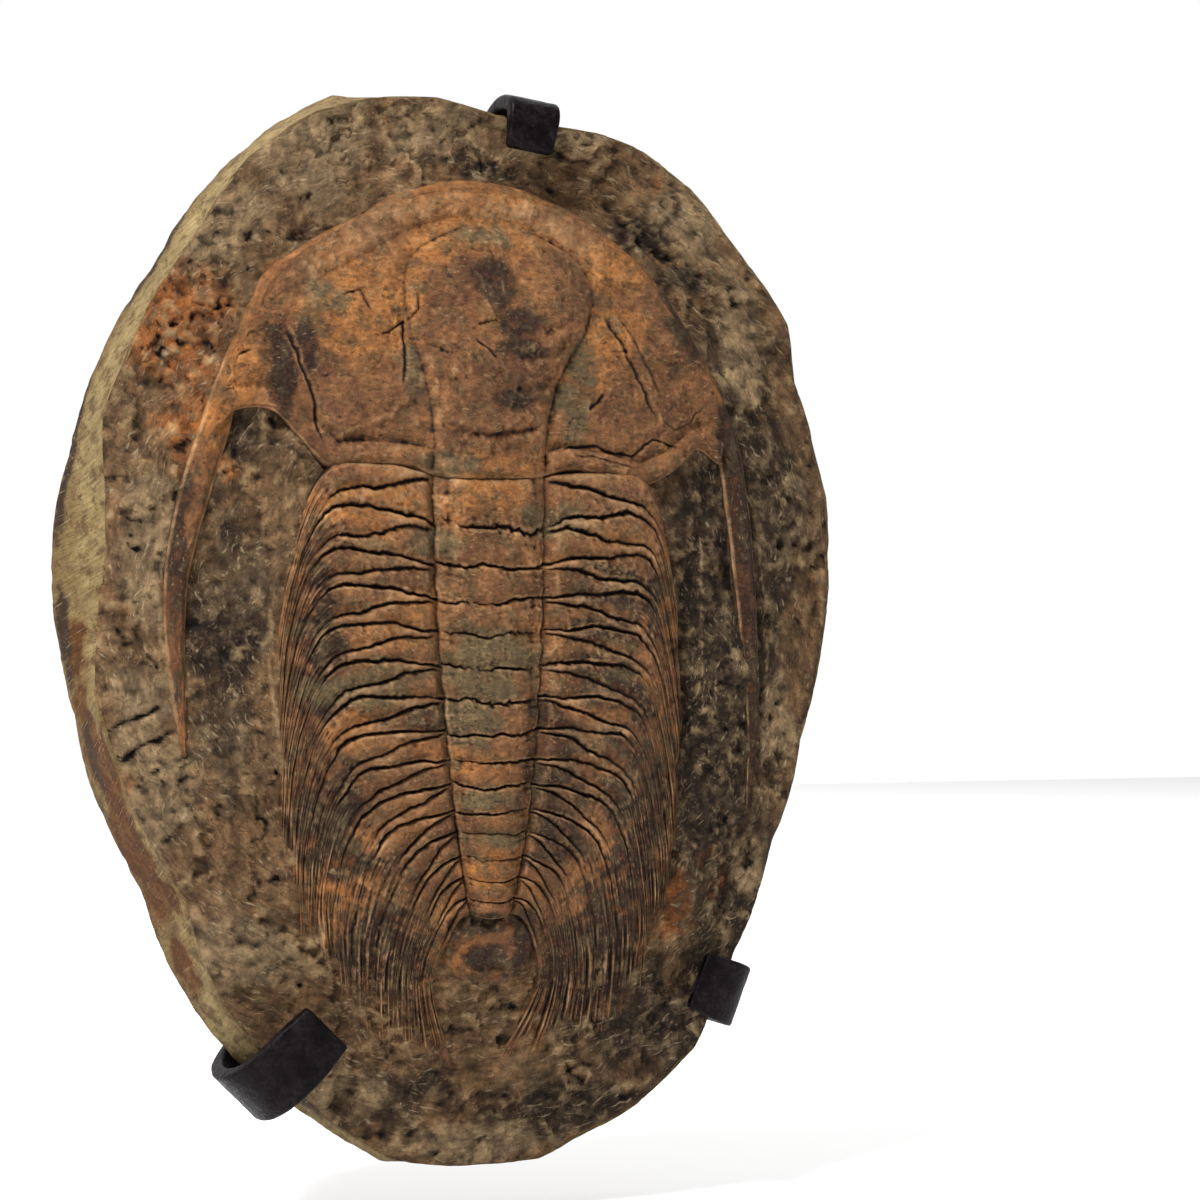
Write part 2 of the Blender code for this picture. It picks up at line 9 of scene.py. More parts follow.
import bpy
import numpy as np
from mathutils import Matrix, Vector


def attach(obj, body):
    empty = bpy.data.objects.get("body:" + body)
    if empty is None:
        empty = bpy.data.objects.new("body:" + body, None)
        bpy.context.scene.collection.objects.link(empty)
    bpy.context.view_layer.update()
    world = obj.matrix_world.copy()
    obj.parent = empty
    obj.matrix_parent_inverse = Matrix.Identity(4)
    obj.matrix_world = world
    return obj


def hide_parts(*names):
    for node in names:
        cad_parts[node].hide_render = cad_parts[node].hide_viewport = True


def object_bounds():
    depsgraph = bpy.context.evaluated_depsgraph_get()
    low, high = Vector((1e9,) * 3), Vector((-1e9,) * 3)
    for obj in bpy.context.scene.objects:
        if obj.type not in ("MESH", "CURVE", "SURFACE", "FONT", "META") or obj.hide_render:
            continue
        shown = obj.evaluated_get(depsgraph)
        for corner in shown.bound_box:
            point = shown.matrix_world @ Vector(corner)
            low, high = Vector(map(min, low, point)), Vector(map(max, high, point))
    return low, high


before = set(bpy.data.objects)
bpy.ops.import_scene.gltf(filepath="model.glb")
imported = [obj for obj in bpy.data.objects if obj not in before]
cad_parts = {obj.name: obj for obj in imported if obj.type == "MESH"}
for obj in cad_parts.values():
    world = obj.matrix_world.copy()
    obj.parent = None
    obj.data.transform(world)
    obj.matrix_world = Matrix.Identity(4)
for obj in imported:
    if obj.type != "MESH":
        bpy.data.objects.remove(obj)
CAD_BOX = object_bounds()

MM = 0.001
# Depth of the foremost point of the solids, which nothing here passes.
FRONT_LIMIT = -CAD_BOX[0][1] / MM - 0.05
BOLT_DROP = 20.0

# Slab: corners of its broken outline as x, height and depth, counterclockwise from the right.
FRONT_EDGE = (
    (170, -22, 55), (173, 13, 54), (172, 39, 54), (166, 63, 53), (157, 90, 53), (154, 116, 52),
    (135, 142, 52), (123, 156, 52), (107, 173, 53), (84, 188, 54), (66, 194, 54), (42, 197, 54),
    (16, 200.5, 54), (-11, 206, 55), (-39, 204, 54), (-64, 197, 54), (-93, 177, 53),
    (-113, 149, 52), (-127, 128, 51), (-143, 96, 50), (-154, 67, 49), (-152, 36, 46),
    (-151, 13, 43), (-155, -20, 41), (-157, -46, 48), (-152, -69, 54), (-144, -89, 57),
    (-121, -131, 57), (-105, -173, 54), (-92, -190, 51), (-56, -227, 47), (-30, -244, 48),
    (-5, -249, 50), (35, -247, 54), (51, -239, 56), (79, -225, 59), (104, -201, 63),
    (121, -160, 67), (140, -112, 67), (154, -68, 64), (163, -46, 59),
)
BACK_EDGE = (
    (165, -20, 25), (169, 25, 25), (159, 72, 25), (144, 124, 26), (109, 165, 28), (58, 187, 33),
    (28, 190, 35), (0, 203, 37), (-31, 208, 36), (-52, 208, 34), (-81, 192, 32), (-100, 175, 30),
    (-130, 131, 27), (-148, 99, 24), (-163, 56, 21), (-169, 21, 20), (-168, -24, 20),
    (-160, -58, 20), (-151, -91, 20), (-133, -129, 23), (-119, -167, 26), (-96, -200, 32),
    (-61, -228, 33), (-30, -248, 33), (0, -249, 33), (57, -233, 30), (103, -198, 27),
    (124, -146, 25), (141, -101, 25), (153, -61, 25),
)
# Crest of the domed front, from the bottom up, as height and depth.
CREST = (
    (-251, 50), (-217, 66), (-182, 76), (-127, 79), (-83, 78), (-20, 74), (58, 73), (141, 65),
    (210, 53),
)
CENTRE_HEIGHT = -20.0
DOME_POWER = 2.4
BACK_DEPTH = 24.6
# The edge starts this far under the front rim, and a lip under the face closes the gap to it.
RIM_DROP = 1.6
LIP_WIDTH = 5.0
LIP_DROP = 3.5
# Radius at which angles round the slab are turned into millimetres.
GRAIN_RADIUS = 150.0
# Ellipse under the body, where the matrix face stays hidden: middle x and height, and half sizes.
UNDER_BODY = (4, -6, 46, 142)
# Columns and rings or rows of the grids.
FACE_COLUMNS = 1000
FACE_RINGS = 92
EDGE_ROWS = 34
BACK_RINGS = 40
EDGE_COLUMNS = 700

# Body: heights of the rear edges of the occipital ring and the 15 segments.
RING_EDGES = (45, 23, 7, -7, -21, -35, -48, -62, -74, -84, -95, -104, -114, -123, -132, -139)
SEGMENTS = len(RING_EDGES) - 1
AXIS_X = 5.0
AXIS_HALF_WIDTH = ((0, 24.5), (4, 22.5), (8, 18.5), (12, 13.5), (15, 8.5))
# Each side's segment lines run from the axial furrow over a bend to a spine tip. The bend, the
# middle and the tip of the line are given as x and height by segment number.
LEFT_LINES = {
    "bend": ((0, -64, 47), (4, -65, -21), (7, -60, -68), (9, -51, -96), (12, -25, -127), (15, -13, -149)),
    "middle": (
        (0, -80, 8), (4, -82, -62), (7, -74, -108), (9, -62, -133), (12, -34, -159), (15, -18, -170),
    ),
    "tip": (
        (0, -87, -40), (4, -83, -118), (7, -70, -155), (9, -56, -174), (12, -30, -197), (15, -4, -206),
    ),
}
RIGHT_LINES = {
    "bend": ((0, 77, 43), (4, 74, -24), (7, 67, -69), (9, 58, -97), (12, 36, -127), (15, 23, -149)),
    "middle": ((0, 90, 5), (4, 87, -66), (7, 80, -114), (9, 70, -137), (12, 45, -160), (15, 27, -171)),
    "tip": ((0, 93, -40), (4, 91, -115), (7, 84, -158), (9, 73, -179), (12, 46, -202), (15, 13, -206)),
}
LINE_STEPS = (0, 0.2, 0.42, 0.72, 1)
LINE_ARCH = 3.0
LINE_LENGTH = 170.0
SEGMENT_PITCH = 12.0
ROWS_PER_SEGMENT = 30
PLEURA_COLUMNS = 130
AXIS_COLUMNS = 76
SHEET_ROOT = 12.0

# Head: its rear margin and its front margin, both from left to right, as x and height.
HEAD_REAR = (
    (-112, 60), (-102, 70), (-88, 71), (-76, 60), (-64, 48), (-45, 49), (-30, 48), (-19, 45),
    (5, 43), (29, 45), (40, 48), (57, 46), (76, 42), (90, 48), (104, 58), (113, 52),
)
HEAD_FRONT = (
    (-109, 72), (-102, 90), (-91, 113), (-76, 134), (-56, 147), (-28, 160), (0, 166), (24, 164),
    (50, 154), (72, 140), (89, 121), (103, 98), (112, 78), (116, 64),
)
HEAD_COLUMNS = 420
HEAD_ROWS = 225
HEAD_APRON = 0.1
# Glabella: middle and half width at each height.
GLABELLA = (
    (44, 5, 25), (60, 5, 25), (85, 7, 30), (110, 11, 40), (125, 12, 42), (140, 12, 34), (152, 12, 10),
)
# Raised border of the head and its long spines, from the left spine's tip to the right one's, as
# x, height and half width.
BORDER = (
    (-123, -72, 0.8), (-124.5, -50, 2.6), (-125, -24, 4), (-124, 4, 5), (-120, 27, 6),
    (-115, 47, 6.5), (-109, 65, 6), (-104, 82, 5), (-96, 101, 4.5), (-84, 126, 4.2),
    (-67, 138, 4.2), (-45, 150, 4.2), (-28, 160, 4.2), (-4, 166, 4.2), (24, 164, 4.2),
    (53, 152, 4.2), (81, 130, 4.5), (103, 98, 5), (113, 78, 5.5), (119, 60, 6), (123, 33, 6.2),
    (126, 6, 5.6), (128.5, -22, 4.6), (129, -55, 3.2), (126, -96, 0.8),
)
BORDER_STEPS = 900
BORDER_ACROSS = 26
# Tail plate: x and height of its middle, and its half sizes.
TAIL = (5, -153, 21, 17)
TAIL_COLUMNS = 160
TAIL_RINGS = 56

# Grooves of the head: depth and half width, or a ridge's height below zero, and corners as x, height.
HEAD_LINES = (
    (1.5, 0.8, ((-81, 107), (-79, 100), (-76, 91), (-72, 81), (-70, 74), (-69, 63), (-66, 54))),
    (1.2, 3.5, ((-67, 126), (-81, 119), (-87, 110), (-89, 98), (-88, 84))),
    (0.9, 0.6, ((-93, 95), (-101, 93), (-104, 86), (-107, 77))),
    (1.2, 0.6, ((-45, 102), (-38, 104), (-31, 108), (-31, 97), (-33, 79))),
    (0.8, 0.7, ((-25, 121), (-25, 114), (-30, 108))),
    (-1.3, 2.2, ((-64, 58), (-57, 61), (-48, 65), (-39, 69), (-32, 75), (-30, 84))),
    (1.4, 4.0, ((-34, 82), (-28, 76), (-24, 68), (-22, 60))),
    (0.9, 0.5, ((-1, 107), (4, 109), (9, 110))),
    (0.9, 0.6, ((-3, 102), (3, 98), (8, 93))),
    (0.3, 2.6, ((-32, 126), (-27, 142), (-18, 151), (-6, 156))),
    (0.5, 2.2, ((2, 157), (23, 154), (36, 148), (45, 139), (51, 131), (52, 122))),
    (1.6, 1.1, ((58, 116), (62, 109), (66, 104), (71, 94), (76, 84), (80, 74), (83, 66))),
    (-1.3, 2.0, ((60, 117), (68, 108), (75, 97), (80, 86), (84, 76))),
    (0.8, 0.8, ((65, 115), (73, 104), (80, 93), (85, 80))),
    (1.2, 0.9, ((58, 81), (54, 77), (50, 73))),
    (1.0, 3.5, ((45, 112), (41, 97), (36, 85), (34, 72), (31, 62))),
    (1.0, 2.2, ((-26, 91), (-20, 86), (-14, 84), (-8, 84))),
    (0.8, 2.0, ((-27, 102), (-20, 98), (-12, 95))),
    (1.3, 2.4, ((37, 89), (30, 83), (22, 81), (14, 82))),
    (1.1, 2.2, ((42, 102), (33, 96), (24, 94), (16, 95))),
    (0.9, 2.0, ((46, 113), (36, 107), (28, 106))),
    (1.5, 2.0, ((-19, 65), (-8, 62), (5, 61), (18, 63), (31, 67))),
    (1.2, 0.6, ((34, 54), (42, 57), (54, 58), (63, 55), (70, 54), (80, 61), (97, 58))),
    (0.8, 0.5, ((42, 53), (52, 54), (62, 51), (72, 49))),
    (0.7, 0.5, ((84, 71), (90, 66), (99, 69), (105, 76))),
    (0.6, 0.5, ((60, 98), (67, 99), (77, 99))),
    (0.8, 0.6, ((-58, 119), (-50, 121), (-45, 112))),
)
TAIL_LINES = (
    (2.5, 2.2, ((-5, -141), (3, -142), (11, -138))),
    (0.8, 1.2, ((-6, -158), (4, -163), (14, -160))),
)
# Grooves of the matrix, in the same way: the trench above the head's right, ledges and cracks.
MATRIX_LINES = (
    (3.2, 5.5, ((8, 176), (25, 172), (42, 168), (62, 161), (80, 150), (98, 138), (118, 131))),
    (1.8, 0.9, ((-154, -62), (-145, -57), (-137, -55), (-131, -50))),
    (1.8, 0.9, ((-149, -75), (-141, -69), (-130, -63), (-124, -60))),
    (1.4, 0.8, ((-90, 146), (-78, 142), (-66, 143), (-52, 141))),
    (1.2, 0.8, ((-120, 116), (-108, 112), (-92, 114))),
    (1.6, 0.7, ((8, 186), (9, 178), (8, 172))),
    (1.2, 0.8, ((96, 108), (104, 96), (110, 88))),
    (1.5, 0.9, ((44, -204), (50, -211), (57, -217))),
    (1.2, 0.7, ((44, -210), (52, -206), (58, -207))),
)
# Thin pale lines where the shell's edge shows in the matrix, in the same way. The first, wide one along the
# brow is a painted highlight.
PALE_LINES_AND_BROW_HIGHLIGHT = (
    (0.5, 9, ((-84, 112), (-66, 132), (-40, 152), (-5, 160), (40, 152), (66, 132))),
    (1.0, 0.7, ((-126, 45), (-131, 20), (-132, 0), (-130, -24), (-127, -48), (-124, -65))),
    (1.0, 0.6, ((-84, 12), (-87, -12), (-88, -40), (-84, -75), (-80, -100), (-76, -128))),
    (0.9, 0.6, ((-72, -110), (-70, -130), (-62, -158), (-54, -176))),
    (0.9, 0.6, ((-58, -140), (-50, -170), (-40, -192), (-32, -204))),
    (0.8, 0.5, ((-34, -176), (-26, -196), (-16, -212))),
    (1.0, 0.6, ((92, -14), (93, -40), (91, -66), (87, -92), (84, -112))),
    (0.8, 0.5, ((60, -150), (54, -176), (50, -194))),
    (0.8, 0.6, ((134, 20), (138, -10), (137, -50), (132, -90))),
    (0.8, 0.5, ((104, 30), (106, 0), (105, -30), (101, -58))),
    (1.0, 0.8, ((44, -205), (50, -206), (56, -210), (55, -218), (46, -216), (44, -208))),
)
# Stains of the shell and of the matrix as x, height and half sizes: rust, then dark brown, then olive.
SHELL_SPOTS = (
    (
        (-1, 162, 34, 7), (-53, 130, 21, 13), (-49, 101, 17, 6), (65, 134, 13, 13), (72, 112, 10, 8),
        (-109, 66, 7, 13), (-48, 32, 31, 7), (5, 38, 21, 17), (-59, -61, 9, 14), (1, -120, 15, 8),
        (-8, -160, 8, 13), (88, -16, 6, 13), (-61, -123, 13, 25), (-100, 82, 7, 17), (-22, -8, 17, 5),
        (61, -126, 9, 17), (-7, -74, 17, 6), (-20, 140, 14, 10), (4, 148, 38, 12), (-34, 120, 16, 14),
        (-60, 110, 16, 16), (60, 105, 14, 20),
    ),
    (
        (7, 123, 11, 12), (19, 110, 10, 7), (-83, 86, 6, 22), (102, 110, 15, 22),
        (120, 62, 8, 25), (60, -24, 22, 34), (70, -92, 17, 50), (-28, -57, 26, 6), (33, -83, 17, 33),
        (-69, -24, 11, 29), (12, 76, 10, 5), (20, 98, 11, 4), (-66, -98, 17, 25),
        (49, -159, 26, 25), (124, -20, 15, 90), (118, 40, 8, 26), (5, -142, 18, 4), (20, -153, 6, 14),
        (2, -156, 9, 6), (-126, 20, 6, 30), (-40, -150, 20, 18), (-72, 96, 5, 12),
    ),
    (
        (3, -35, 17, 17), (44, 73, 10, 14), (-22, 17, 13, 6), (-6, -57, 13, 13), (-57, -45, 26, 8),
        (36, 26, 17, 8), (-17, 49, 13, 6), (-29, 84, 4, 13), (-66, 118, 10, 8), (0, 146, 13, 6),
        (6, -107, 13, 5), (-2, -90, 10, 6), (48, 92, 8, 12),
    ),
)
MATRIX_SPOTS = (
    (
        (-124, 103, 27, 27), (-121, 62, 15, 17), (-78, 129, 9, 5), (92, -140, 8, 18), (91, 164, 3, 12),
        (-141, -122, 4, 25), (-111, 45, 10, 8), (110, -127, 9, 13), (-149, -97, 9, 17),
    ),
    (
        (-107, -24, 15, 63), (109, -16, 15, 83), (139, 10, 13, 38), (-12, 180, 15, 3), (11, 175, 13, 4),
        (79, 150, 19, 9), (102, 134, 13, 6), (65, -178, 30, 25), (42, -225, 39, 13), (-96, -8, 13, 25),
        (-101, 62, 13, 13), (99, -84, 17, 25), (-28, -218, 26, 13), (136, 30, 18, 60),
    ),
    (
        (141, -61, 9, 16), (127, -124, 8, 13), (-96, -155, 26, 17), (-58, -212, 26, 13), (52, 190, 17, 8),
        (-133, -89, 13, 25), (7, -237, 34, 8), (108, 154, 13, 13), (126, 111, 13, 25), (-110, 150, 30, 22),
        (-66, 184, 40, 24), (-14, 192, 34, 12), (30, 190, 30, 10), (100, 168, 22, 12), (-140, -60, 12, 26),
        (-134, 10, 14, 30),
    ),
)

# Cradle straps, forged from flat bar: width and thickness, and middle lines as distance along the
# strap and depth.
STRAP_THICKNESS = 7.0
SPINE_SIZE = (22.6, STRAP_THICKNESS)
ARM_SIZE = (27.0, STRAP_THICKNESS)
SPINE_LEAN = 8.0
SPINE_LINE = (
    (-173, 20.7), (-72, 20.7), (-58, 17.6), (-42, 11.4), (-27, 6.2), (-14, 3.5), (50, 3.5),
    (60, 4.3), (69, 6.6), (76, 10.6), (80.5, 15.2), (84.5, 19.2), (91, 20.7), (172, 20.7),
    (184, 22.2), (194, 26.6), (201.5, 34), (205.4, 43), (206.4, 52), (203, 65.5), (184.5, 65.5),
)
LEFT_ARM_LINE = (
    (-1, 20.7), (20, 20.5), (60, 18.8), (81, 18.4), (92, 20.6), (99.5, 26.5), (103, 36),
    (103, 46), (100.5, 56), (94.5, 63.5), (86, 67.2), (76, 68), (61, 68),
)
RIGHT_ARM_LINE = (
    (0, 20.7), (100, 20.3), (136, 20.3), (142.5, 22), (146.4, 26.5), (147.7, 33), (147.7, 62),
    (146.5, 69.5), (142, 74.8), (135, 76.5), (124, 76.5),
)
# Each arm's line, its start as x and height, and its bearing in degrees.
ARMS = (
    ("left_arm", LEFT_ARM_LINE, (-21.0, -140.6), 225.0),
    ("right_arm", RIGHT_ARM_LINE, (-17.0, -124.0), -21.6),
)
STRAP_GAP = 0.3
STRAP_CORNER = 1.3
STRAP_COLUMNS = 64

# Bolt and knob, sized as their solids. An M8 thread has a pitch of 1.25 mm, drawn coarser to show.
BOLT_RADIUS = 3.5
BOLT_PITCH = 1.9
BOLT_HEAD_RADIUS = 9.0
BOLT_HEAD_HEIGHT = 4.5
BOLT_REACH = 22.0
BOLT_COLUMNS = 48
KNOB_MIDDLE = (-4.0, -21.2, -14.0)
KNOB_HALF = 10.8
KNOB_RADIUS = 25.2
KNOB_GROWTH = 0.075
KNOB_MOUTH = math.radians(80)
KNOB_RIBS = 46
KNOB_COLUMNS = 260
KNOB_ROWS = 90
MOUTH_COLUMNS = 14

# Stains of the sawn edge as depth and height and half sizes: bare pale stone, then rust, then dark.
EDGE_SPOTS = (
    ((42, 70, 12, 90), (44, -20, 9, 22), (47, -130, 6, 40), (38, -182, 9, 16), (45, 170, 9, 30)),
    ((33, -62, 9, 36), (37, -108, 12, 44), (29, -30, 6, 14), (46, -74, 5, 14), (36, -160, 9, 14)),
    ((31, -76, 4, 18), (44, -216, 14, 14), (29, 140, 3, 26), (22, 62, 3, 44), (24, -20, 3, 20)),
)


def place(x, depth, height):
    """Points in metres from millimetres right of, in front of and above the bolt."""
    x, depth, height = np.broadcast_arrays(x, depth, height)
    return np.stack([x, -depth, height - BOLT_DROP], axis=-1) * MM


def smooth(at, knots, values):
    """Cubic curve through the values at the knots, for one number or a point per knot."""
    knots = np.asarray(knots, float)
    values = np.asarray(values, float)
    slopes = np.gradient(values, knots, axis=0)
    at = np.clip(at, knots[0], knots[-1])
    i = np.clip(np.searchsorted(knots, at, side="right") - 1, 0, len(knots) - 2)
    span = knots[i + 1] - knots[i]
    t = (at - knots[i]) / span
    if values.ndim > 1:
        span = span[..., None]
        t = t[..., None]
    return (
        (1 + 2 * t) * (1 - t) ** 2 * values[i]
        + t * (1 - t) ** 2 * span * slopes[i]
        + t**2 * (3 - 2 * t) * values[i + 1]
        + t**2 * (t - 1) * span * slopes[i + 1]
    )


def step(low, high, value):
    """0 below low, 1 above high and a smooth S between."""
    t = np.clip((value - low) / (high - low), 0, 1)
    return t * t * (3 - 2 * t)


def bell(value, width):
    """1 at zero, falling like a bell that is about that wide to each side."""
    return np.exp(-((value / width) ** 2))


def along(points, count):
    """Evenly spaced places on the smooth line through the points."""
    points = np.asarray(points, float)
    lengths = np.linalg.norm(np.diff(points[:, :2], axis=0), axis=1)
    knots = np.concatenate([[0], np.cumsum(lengths)])
    return smooth(np.linspace(0, knots[-1], count), knots, points)


def noise(points, size, seed=0):
    """Random field from -1 to 1: a value for each corner of a lattice of that size, blended between."""
    at = points / size
    low = np.floor(at).astype(np.int64)
    t = at - low
    t = t * t * (3 - 2 * t)
    total = np.zeros(points.shape[:-1])
    for corner in np.ndindex(2, 2, 2):
        cell = low + corner
        mixed = cell[..., 0] * 73856093 ^ cell[..., 1] * 19349663 ^ cell[..., 2] * 83492791
        mixed = (mixed ^ seed * 2654435761) & 0xFFFFFFFF
        mixed = ((mixed ^ mixed >> 15) * 2246822519) & 0xFFFFFFFF
        mixed = ((mixed ^ mixed >> 13) * 3266489917) & 0xFFFFFFFF
        share = np.prod(np.where(corner, t, 1 - t), axis=-1)
        total += share * ((mixed ^ mixed >> 16) & 0xFFFF) / 0x7FFF
    return total - 1


def rough(points, size, octaves=4, seed=0, keep=0.55):
    """Noise of a size with finer and weaker noise added, each of half the size before it."""
    return sum(keep**k * noise(points, size / 2**k, seed + 7 * k) for k in range(octaves))


def near_line(x, height, corners):
    """Distance in millimetres of each point from a line of corners, and 0 to 1 along it."""
    corners = np.asarray(corners, float)
    lengths = np.linalg.norm(np.diff(corners, axis=0), axis=1)
    starts = np.concatenate([[0], np.cumsum(lengths)])
    nearest = np.full(np.shape(x), 1e6)
    place_along = np.zeros(np.shape(x))
    for start, end, length, so_far in zip(corners, corners[1:], lengths, starts):
        way = (end - start) / length
        reach = np.clip((x - start[0]) * way[0] + (height - start[1]) * way[1], 0, length)
        away = np.hypot(x - start[0] - reach * way[0], height - start[1] - reach * way[1])
        closer = away < nearest
        nearest = np.where(closer, away, nearest)
        place_along = np.where(closer, (so_far + reach) / starts[-1], place_along)
    return nearest, place_along


def hollows(relief, reach):
    """How far each grid point lies below the mean of the grid around it, within reach steps."""
    mean = relief
    for axis in (0, 1):
        padding = [(reach + 1, reach) if a == axis else (0, 0) for a in (0, 1)]
        total = np.cumsum(np.pad(mean, padding, mode="edge"), axis=axis)
        far = np.take(total, np.arange(2 * reach + 1, total.shape[axis]), axis=axis)
        near = np.take(total, np.arange(0, total.shape[axis] - 2 * reach - 1), axis=axis)
        mean = (far - near) / (2 * reach + 1)
    return mean - relief


def grid_quads(rows, columns, around=False):
    """Faces between the neighbours of a grid, whose last column joins its first if it goes around."""
    i, j = np.meshgrid(np.arange(rows - 1), np.arange(columns - (not around)), indexing="ij")
    right = (j + 1) % columns
    quads = [i * columns + j, (i + 1) * columns + j, (i + 1) * columns + right, i * columns + right]
    return np.stack(quads, axis=-1).reshape(-1, 4)


def fan(loop, middle):
    """Triangles from each side of a loop of points to one middle point."""
    return np.stack([loop, np.roll(loop, -1), np.full(len(loop), middle)], axis=-1)


def new_piece(name, points, quads, triangles, material, slot, stains=None, grain=None):
    """Closed mesh from arrays, facing out. Stains holds up to four masks for each of the first
    points, and grain the place of each along and across the lines of its surface, in metres."""
    corner = points[0]
    sides = [quads[:, [0, 1, 2]], quads[:, [0, 2, 3]], triangles]
    volume = sum(np.linalg.det(points[side] - corner).sum() for side in sides if len(side))
    if volume < 0:
        quads, triangles = quads[:, ::-1], triangles[:, ::-1]
    mesh = bpy.data.meshes.new(name)
    mesh.vertices.add(len(points))
    mesh.vertices.foreach_set("co", points.astype(np.float32).ravel())
    loops = np.concatenate([quads.ravel(), triangles.ravel()]).astype(np.int32)
    mesh.loops.add(len(loops))
    mesh.loops.foreach_set("vertex_index", loops)
    starts = np.concatenate([np.arange(len(quads)) * 4, len(quads) * 4 + np.arange(len(triangles)) * 3])
    mesh.polygons.add(len(starts))
    mesh.polygons.foreach_set("loop_start", starts.astype(np.int32))
    mesh.update(calc_edges=True)
    mesh.shade_smooth()
    tables = (("stains", "FLOAT_COLOR", 4, stains), ("grain", "FLOAT_VECTOR", 3, grain))
    for label, kind, width, values in tables:
        if values is None:
            continue
        table = np.zeros((len(points), width), np.float32)
        table[: len(values), : values.shape[1]] = values
        attribute = mesh.attributes.new(label, kind, "POINT")
        attribute.data.foreach_set("color" if kind == "FLOAT_COLOR" else "vector", table.ravel())
    mesh.materials.append(material)
    obj = bpy.data.objects.new(name, mesh)
    bpy.context.scene.collection.objects.link(obj)
    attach(obj, "root")
    return obj


def closed_sheet(name, top, root, material, slot, **masks):
    """Piece whose front is a grid of points. Its rim drops back to the root points, and a fan to
    their middle closes it."""
    rows, columns = top.shape[:2]
    index = np.arange(rows * columns).reshape(rows, columns)
    rim = np.concatenate([index[0], index[1:, -1], index[-1, -2::-1], index[-2:0:-1, 0]])
    skirt = rows * columns + np.arange(len(rim))
    middle = rows * columns + len(rim)
    root = root.reshape(-1, 3)[rim]
    points = np.concatenate([top.reshape(-1, 3), root, root.mean(axis=0, keepdims=True)])
    sides = np.stack([rim, np.roll(rim, -1), np.roll(skirt, -1), skirt], axis=-1)
    quads = np.concatenate([grid_quads(rows, columns), sides])
    return new_piece(name, points, quads, fan(skirt, middle), material, slot, **masks)


def closed_tube(name, rings, first, last, material, slot, **masks):
    """Piece made of closed rings of points, ended by a fan to one point on each side."""
    rows, columns = rings.shape[:2]
    count = rows * columns
    points = np.concatenate([rings.reshape(-1, 3), [first], [last]])
    ends = [fan(np.arange(columns)[::-1], count), fan(count - columns + np.arange(columns), count + 1)]
    quads = grid_quads(rows, columns, around=True)[:, ::-1]
    return new_piece(name, points, quads, np.concatenate(ends)[:, ::-1], material, slot, **masks)


def edge_at(corners, angle):
    """Radius and depth of an outline at angles around the slab's centre."""
    x, height, depth = np.array(corners, float).T
    around = np.arctan2(height - CENTRE_HEIGHT, x)
    radius = np.hypot(x, height - CENTRE_HEIGHT)
    turn = 2 * math.pi
    return np.interp(angle, around, radius, period=turn), np.interp(angle, around, depth, period=turn)


def front_depth(x, height):
    """Depth of the slab's domed front, which falls from a crest line to the broken edge."""
    angle = np.arctan2(height - CENTRE_HEIGHT, x)
    radius, rim = edge_at(FRONT_EDGE, angle)
    share = np.clip(np.hypot(x, height - CENTRE_HEIGHT) / radius, 0, 1)
    crest = smooth(height, *np.array(CREST, float).T)
    return rim + (crest - rim) * (1 - share**DOME_POWER)


def flat(x, height):
    """Points for noise on the front, from x and height."""
    return np.stack([x, height, np.zeros_like(x)], axis=-1)


def axis_half(s):
    """Half width of the middle lobe, by segment number."""
    return smooth(s, *np.array(AXIS_HALF_WIDTH, float).T)


def segment_line(lines, side, s, p):
    """Places on a side's segment lines: s counts segments, p runs from furrow to spine tip."""
    edge = smooth(s, np.arange(len(RING_EDGES)), RING_EDGES)
    start = np.stack([AXIS_X + side * axis_half(s), edge], axis=-1)
    knots = {}
    for name, rows in lines.items():
        rows = np.array(rows, float)
        knots[name] = smooth(s, rows[:, 0], rows[:, 1:])
    arch = (start + knots["bend"]) / 2 + (0, LINE_ARCH)
    points = np.stack([start, arch, knots["bend"], knots["middle"], knots["tip"]])
    weights = smooth(p, LINE_STEPS, np.eye(len(LINE_STEPS)))
    return np.einsum("...k,k...c->...c", weights, points)


def linear(code):
    """Linear colour with alpha from an sRGB hex code."""
    parts = [int(code[k : k + 2], 16) / 255 for k in (1, 3, 5)]
    return (*[p / 12.92 if p <= 0.04045 else ((p + 0.055) / 1.055) ** 2.4 for p in parts], 1)


def add(tree, kind, inputs=(), **settings):
    """Adds a node with its settings. An input that is a socket is linked, any other is set."""
    made = tree.nodes.new(kind)
    for name, value in settings.items():
        setattr(made, name, value)
    for key, value in dict(inputs).items():
        if isinstance(value, bpy.types.NodeSocket):
            tree.links.new(value, made.inputs[key])
        else:
            made.inputs[key].default_value = value
    return made


def new_material(name, **sockets):
    """Material with its shader's own sockets set, as material, tree, shader and object places."""
    material = bpy.data.materials.new(name)
    material.use_nodes = True
    tree = material.node_tree
    shader = tree.nodes["Principled BSDF"]
    for socket, value in sockets.items():
        shader.inputs[socket.replace("_", " ")].default_value = value
    places = add(tree, "ShaderNodeTexCoord").outputs["Object"]
    return material, tree, shader, places


def mix(tree, share, low, high, blend="MIX"):
    """Colour between two, which are hex codes or sockets, by a share."""
    made = add(tree, "ShaderNodeMix", {0: share}, data_type="RGBA", blend_type=blend, clamp_factor=True)
    for key, value in ((6, low), (7, high)):
        if isinstance(value, str):
            made.inputs[key].default_value = linear(value)
        else:
            tree.links.new(value, made.inputs[key])
    return made.outputs[2]


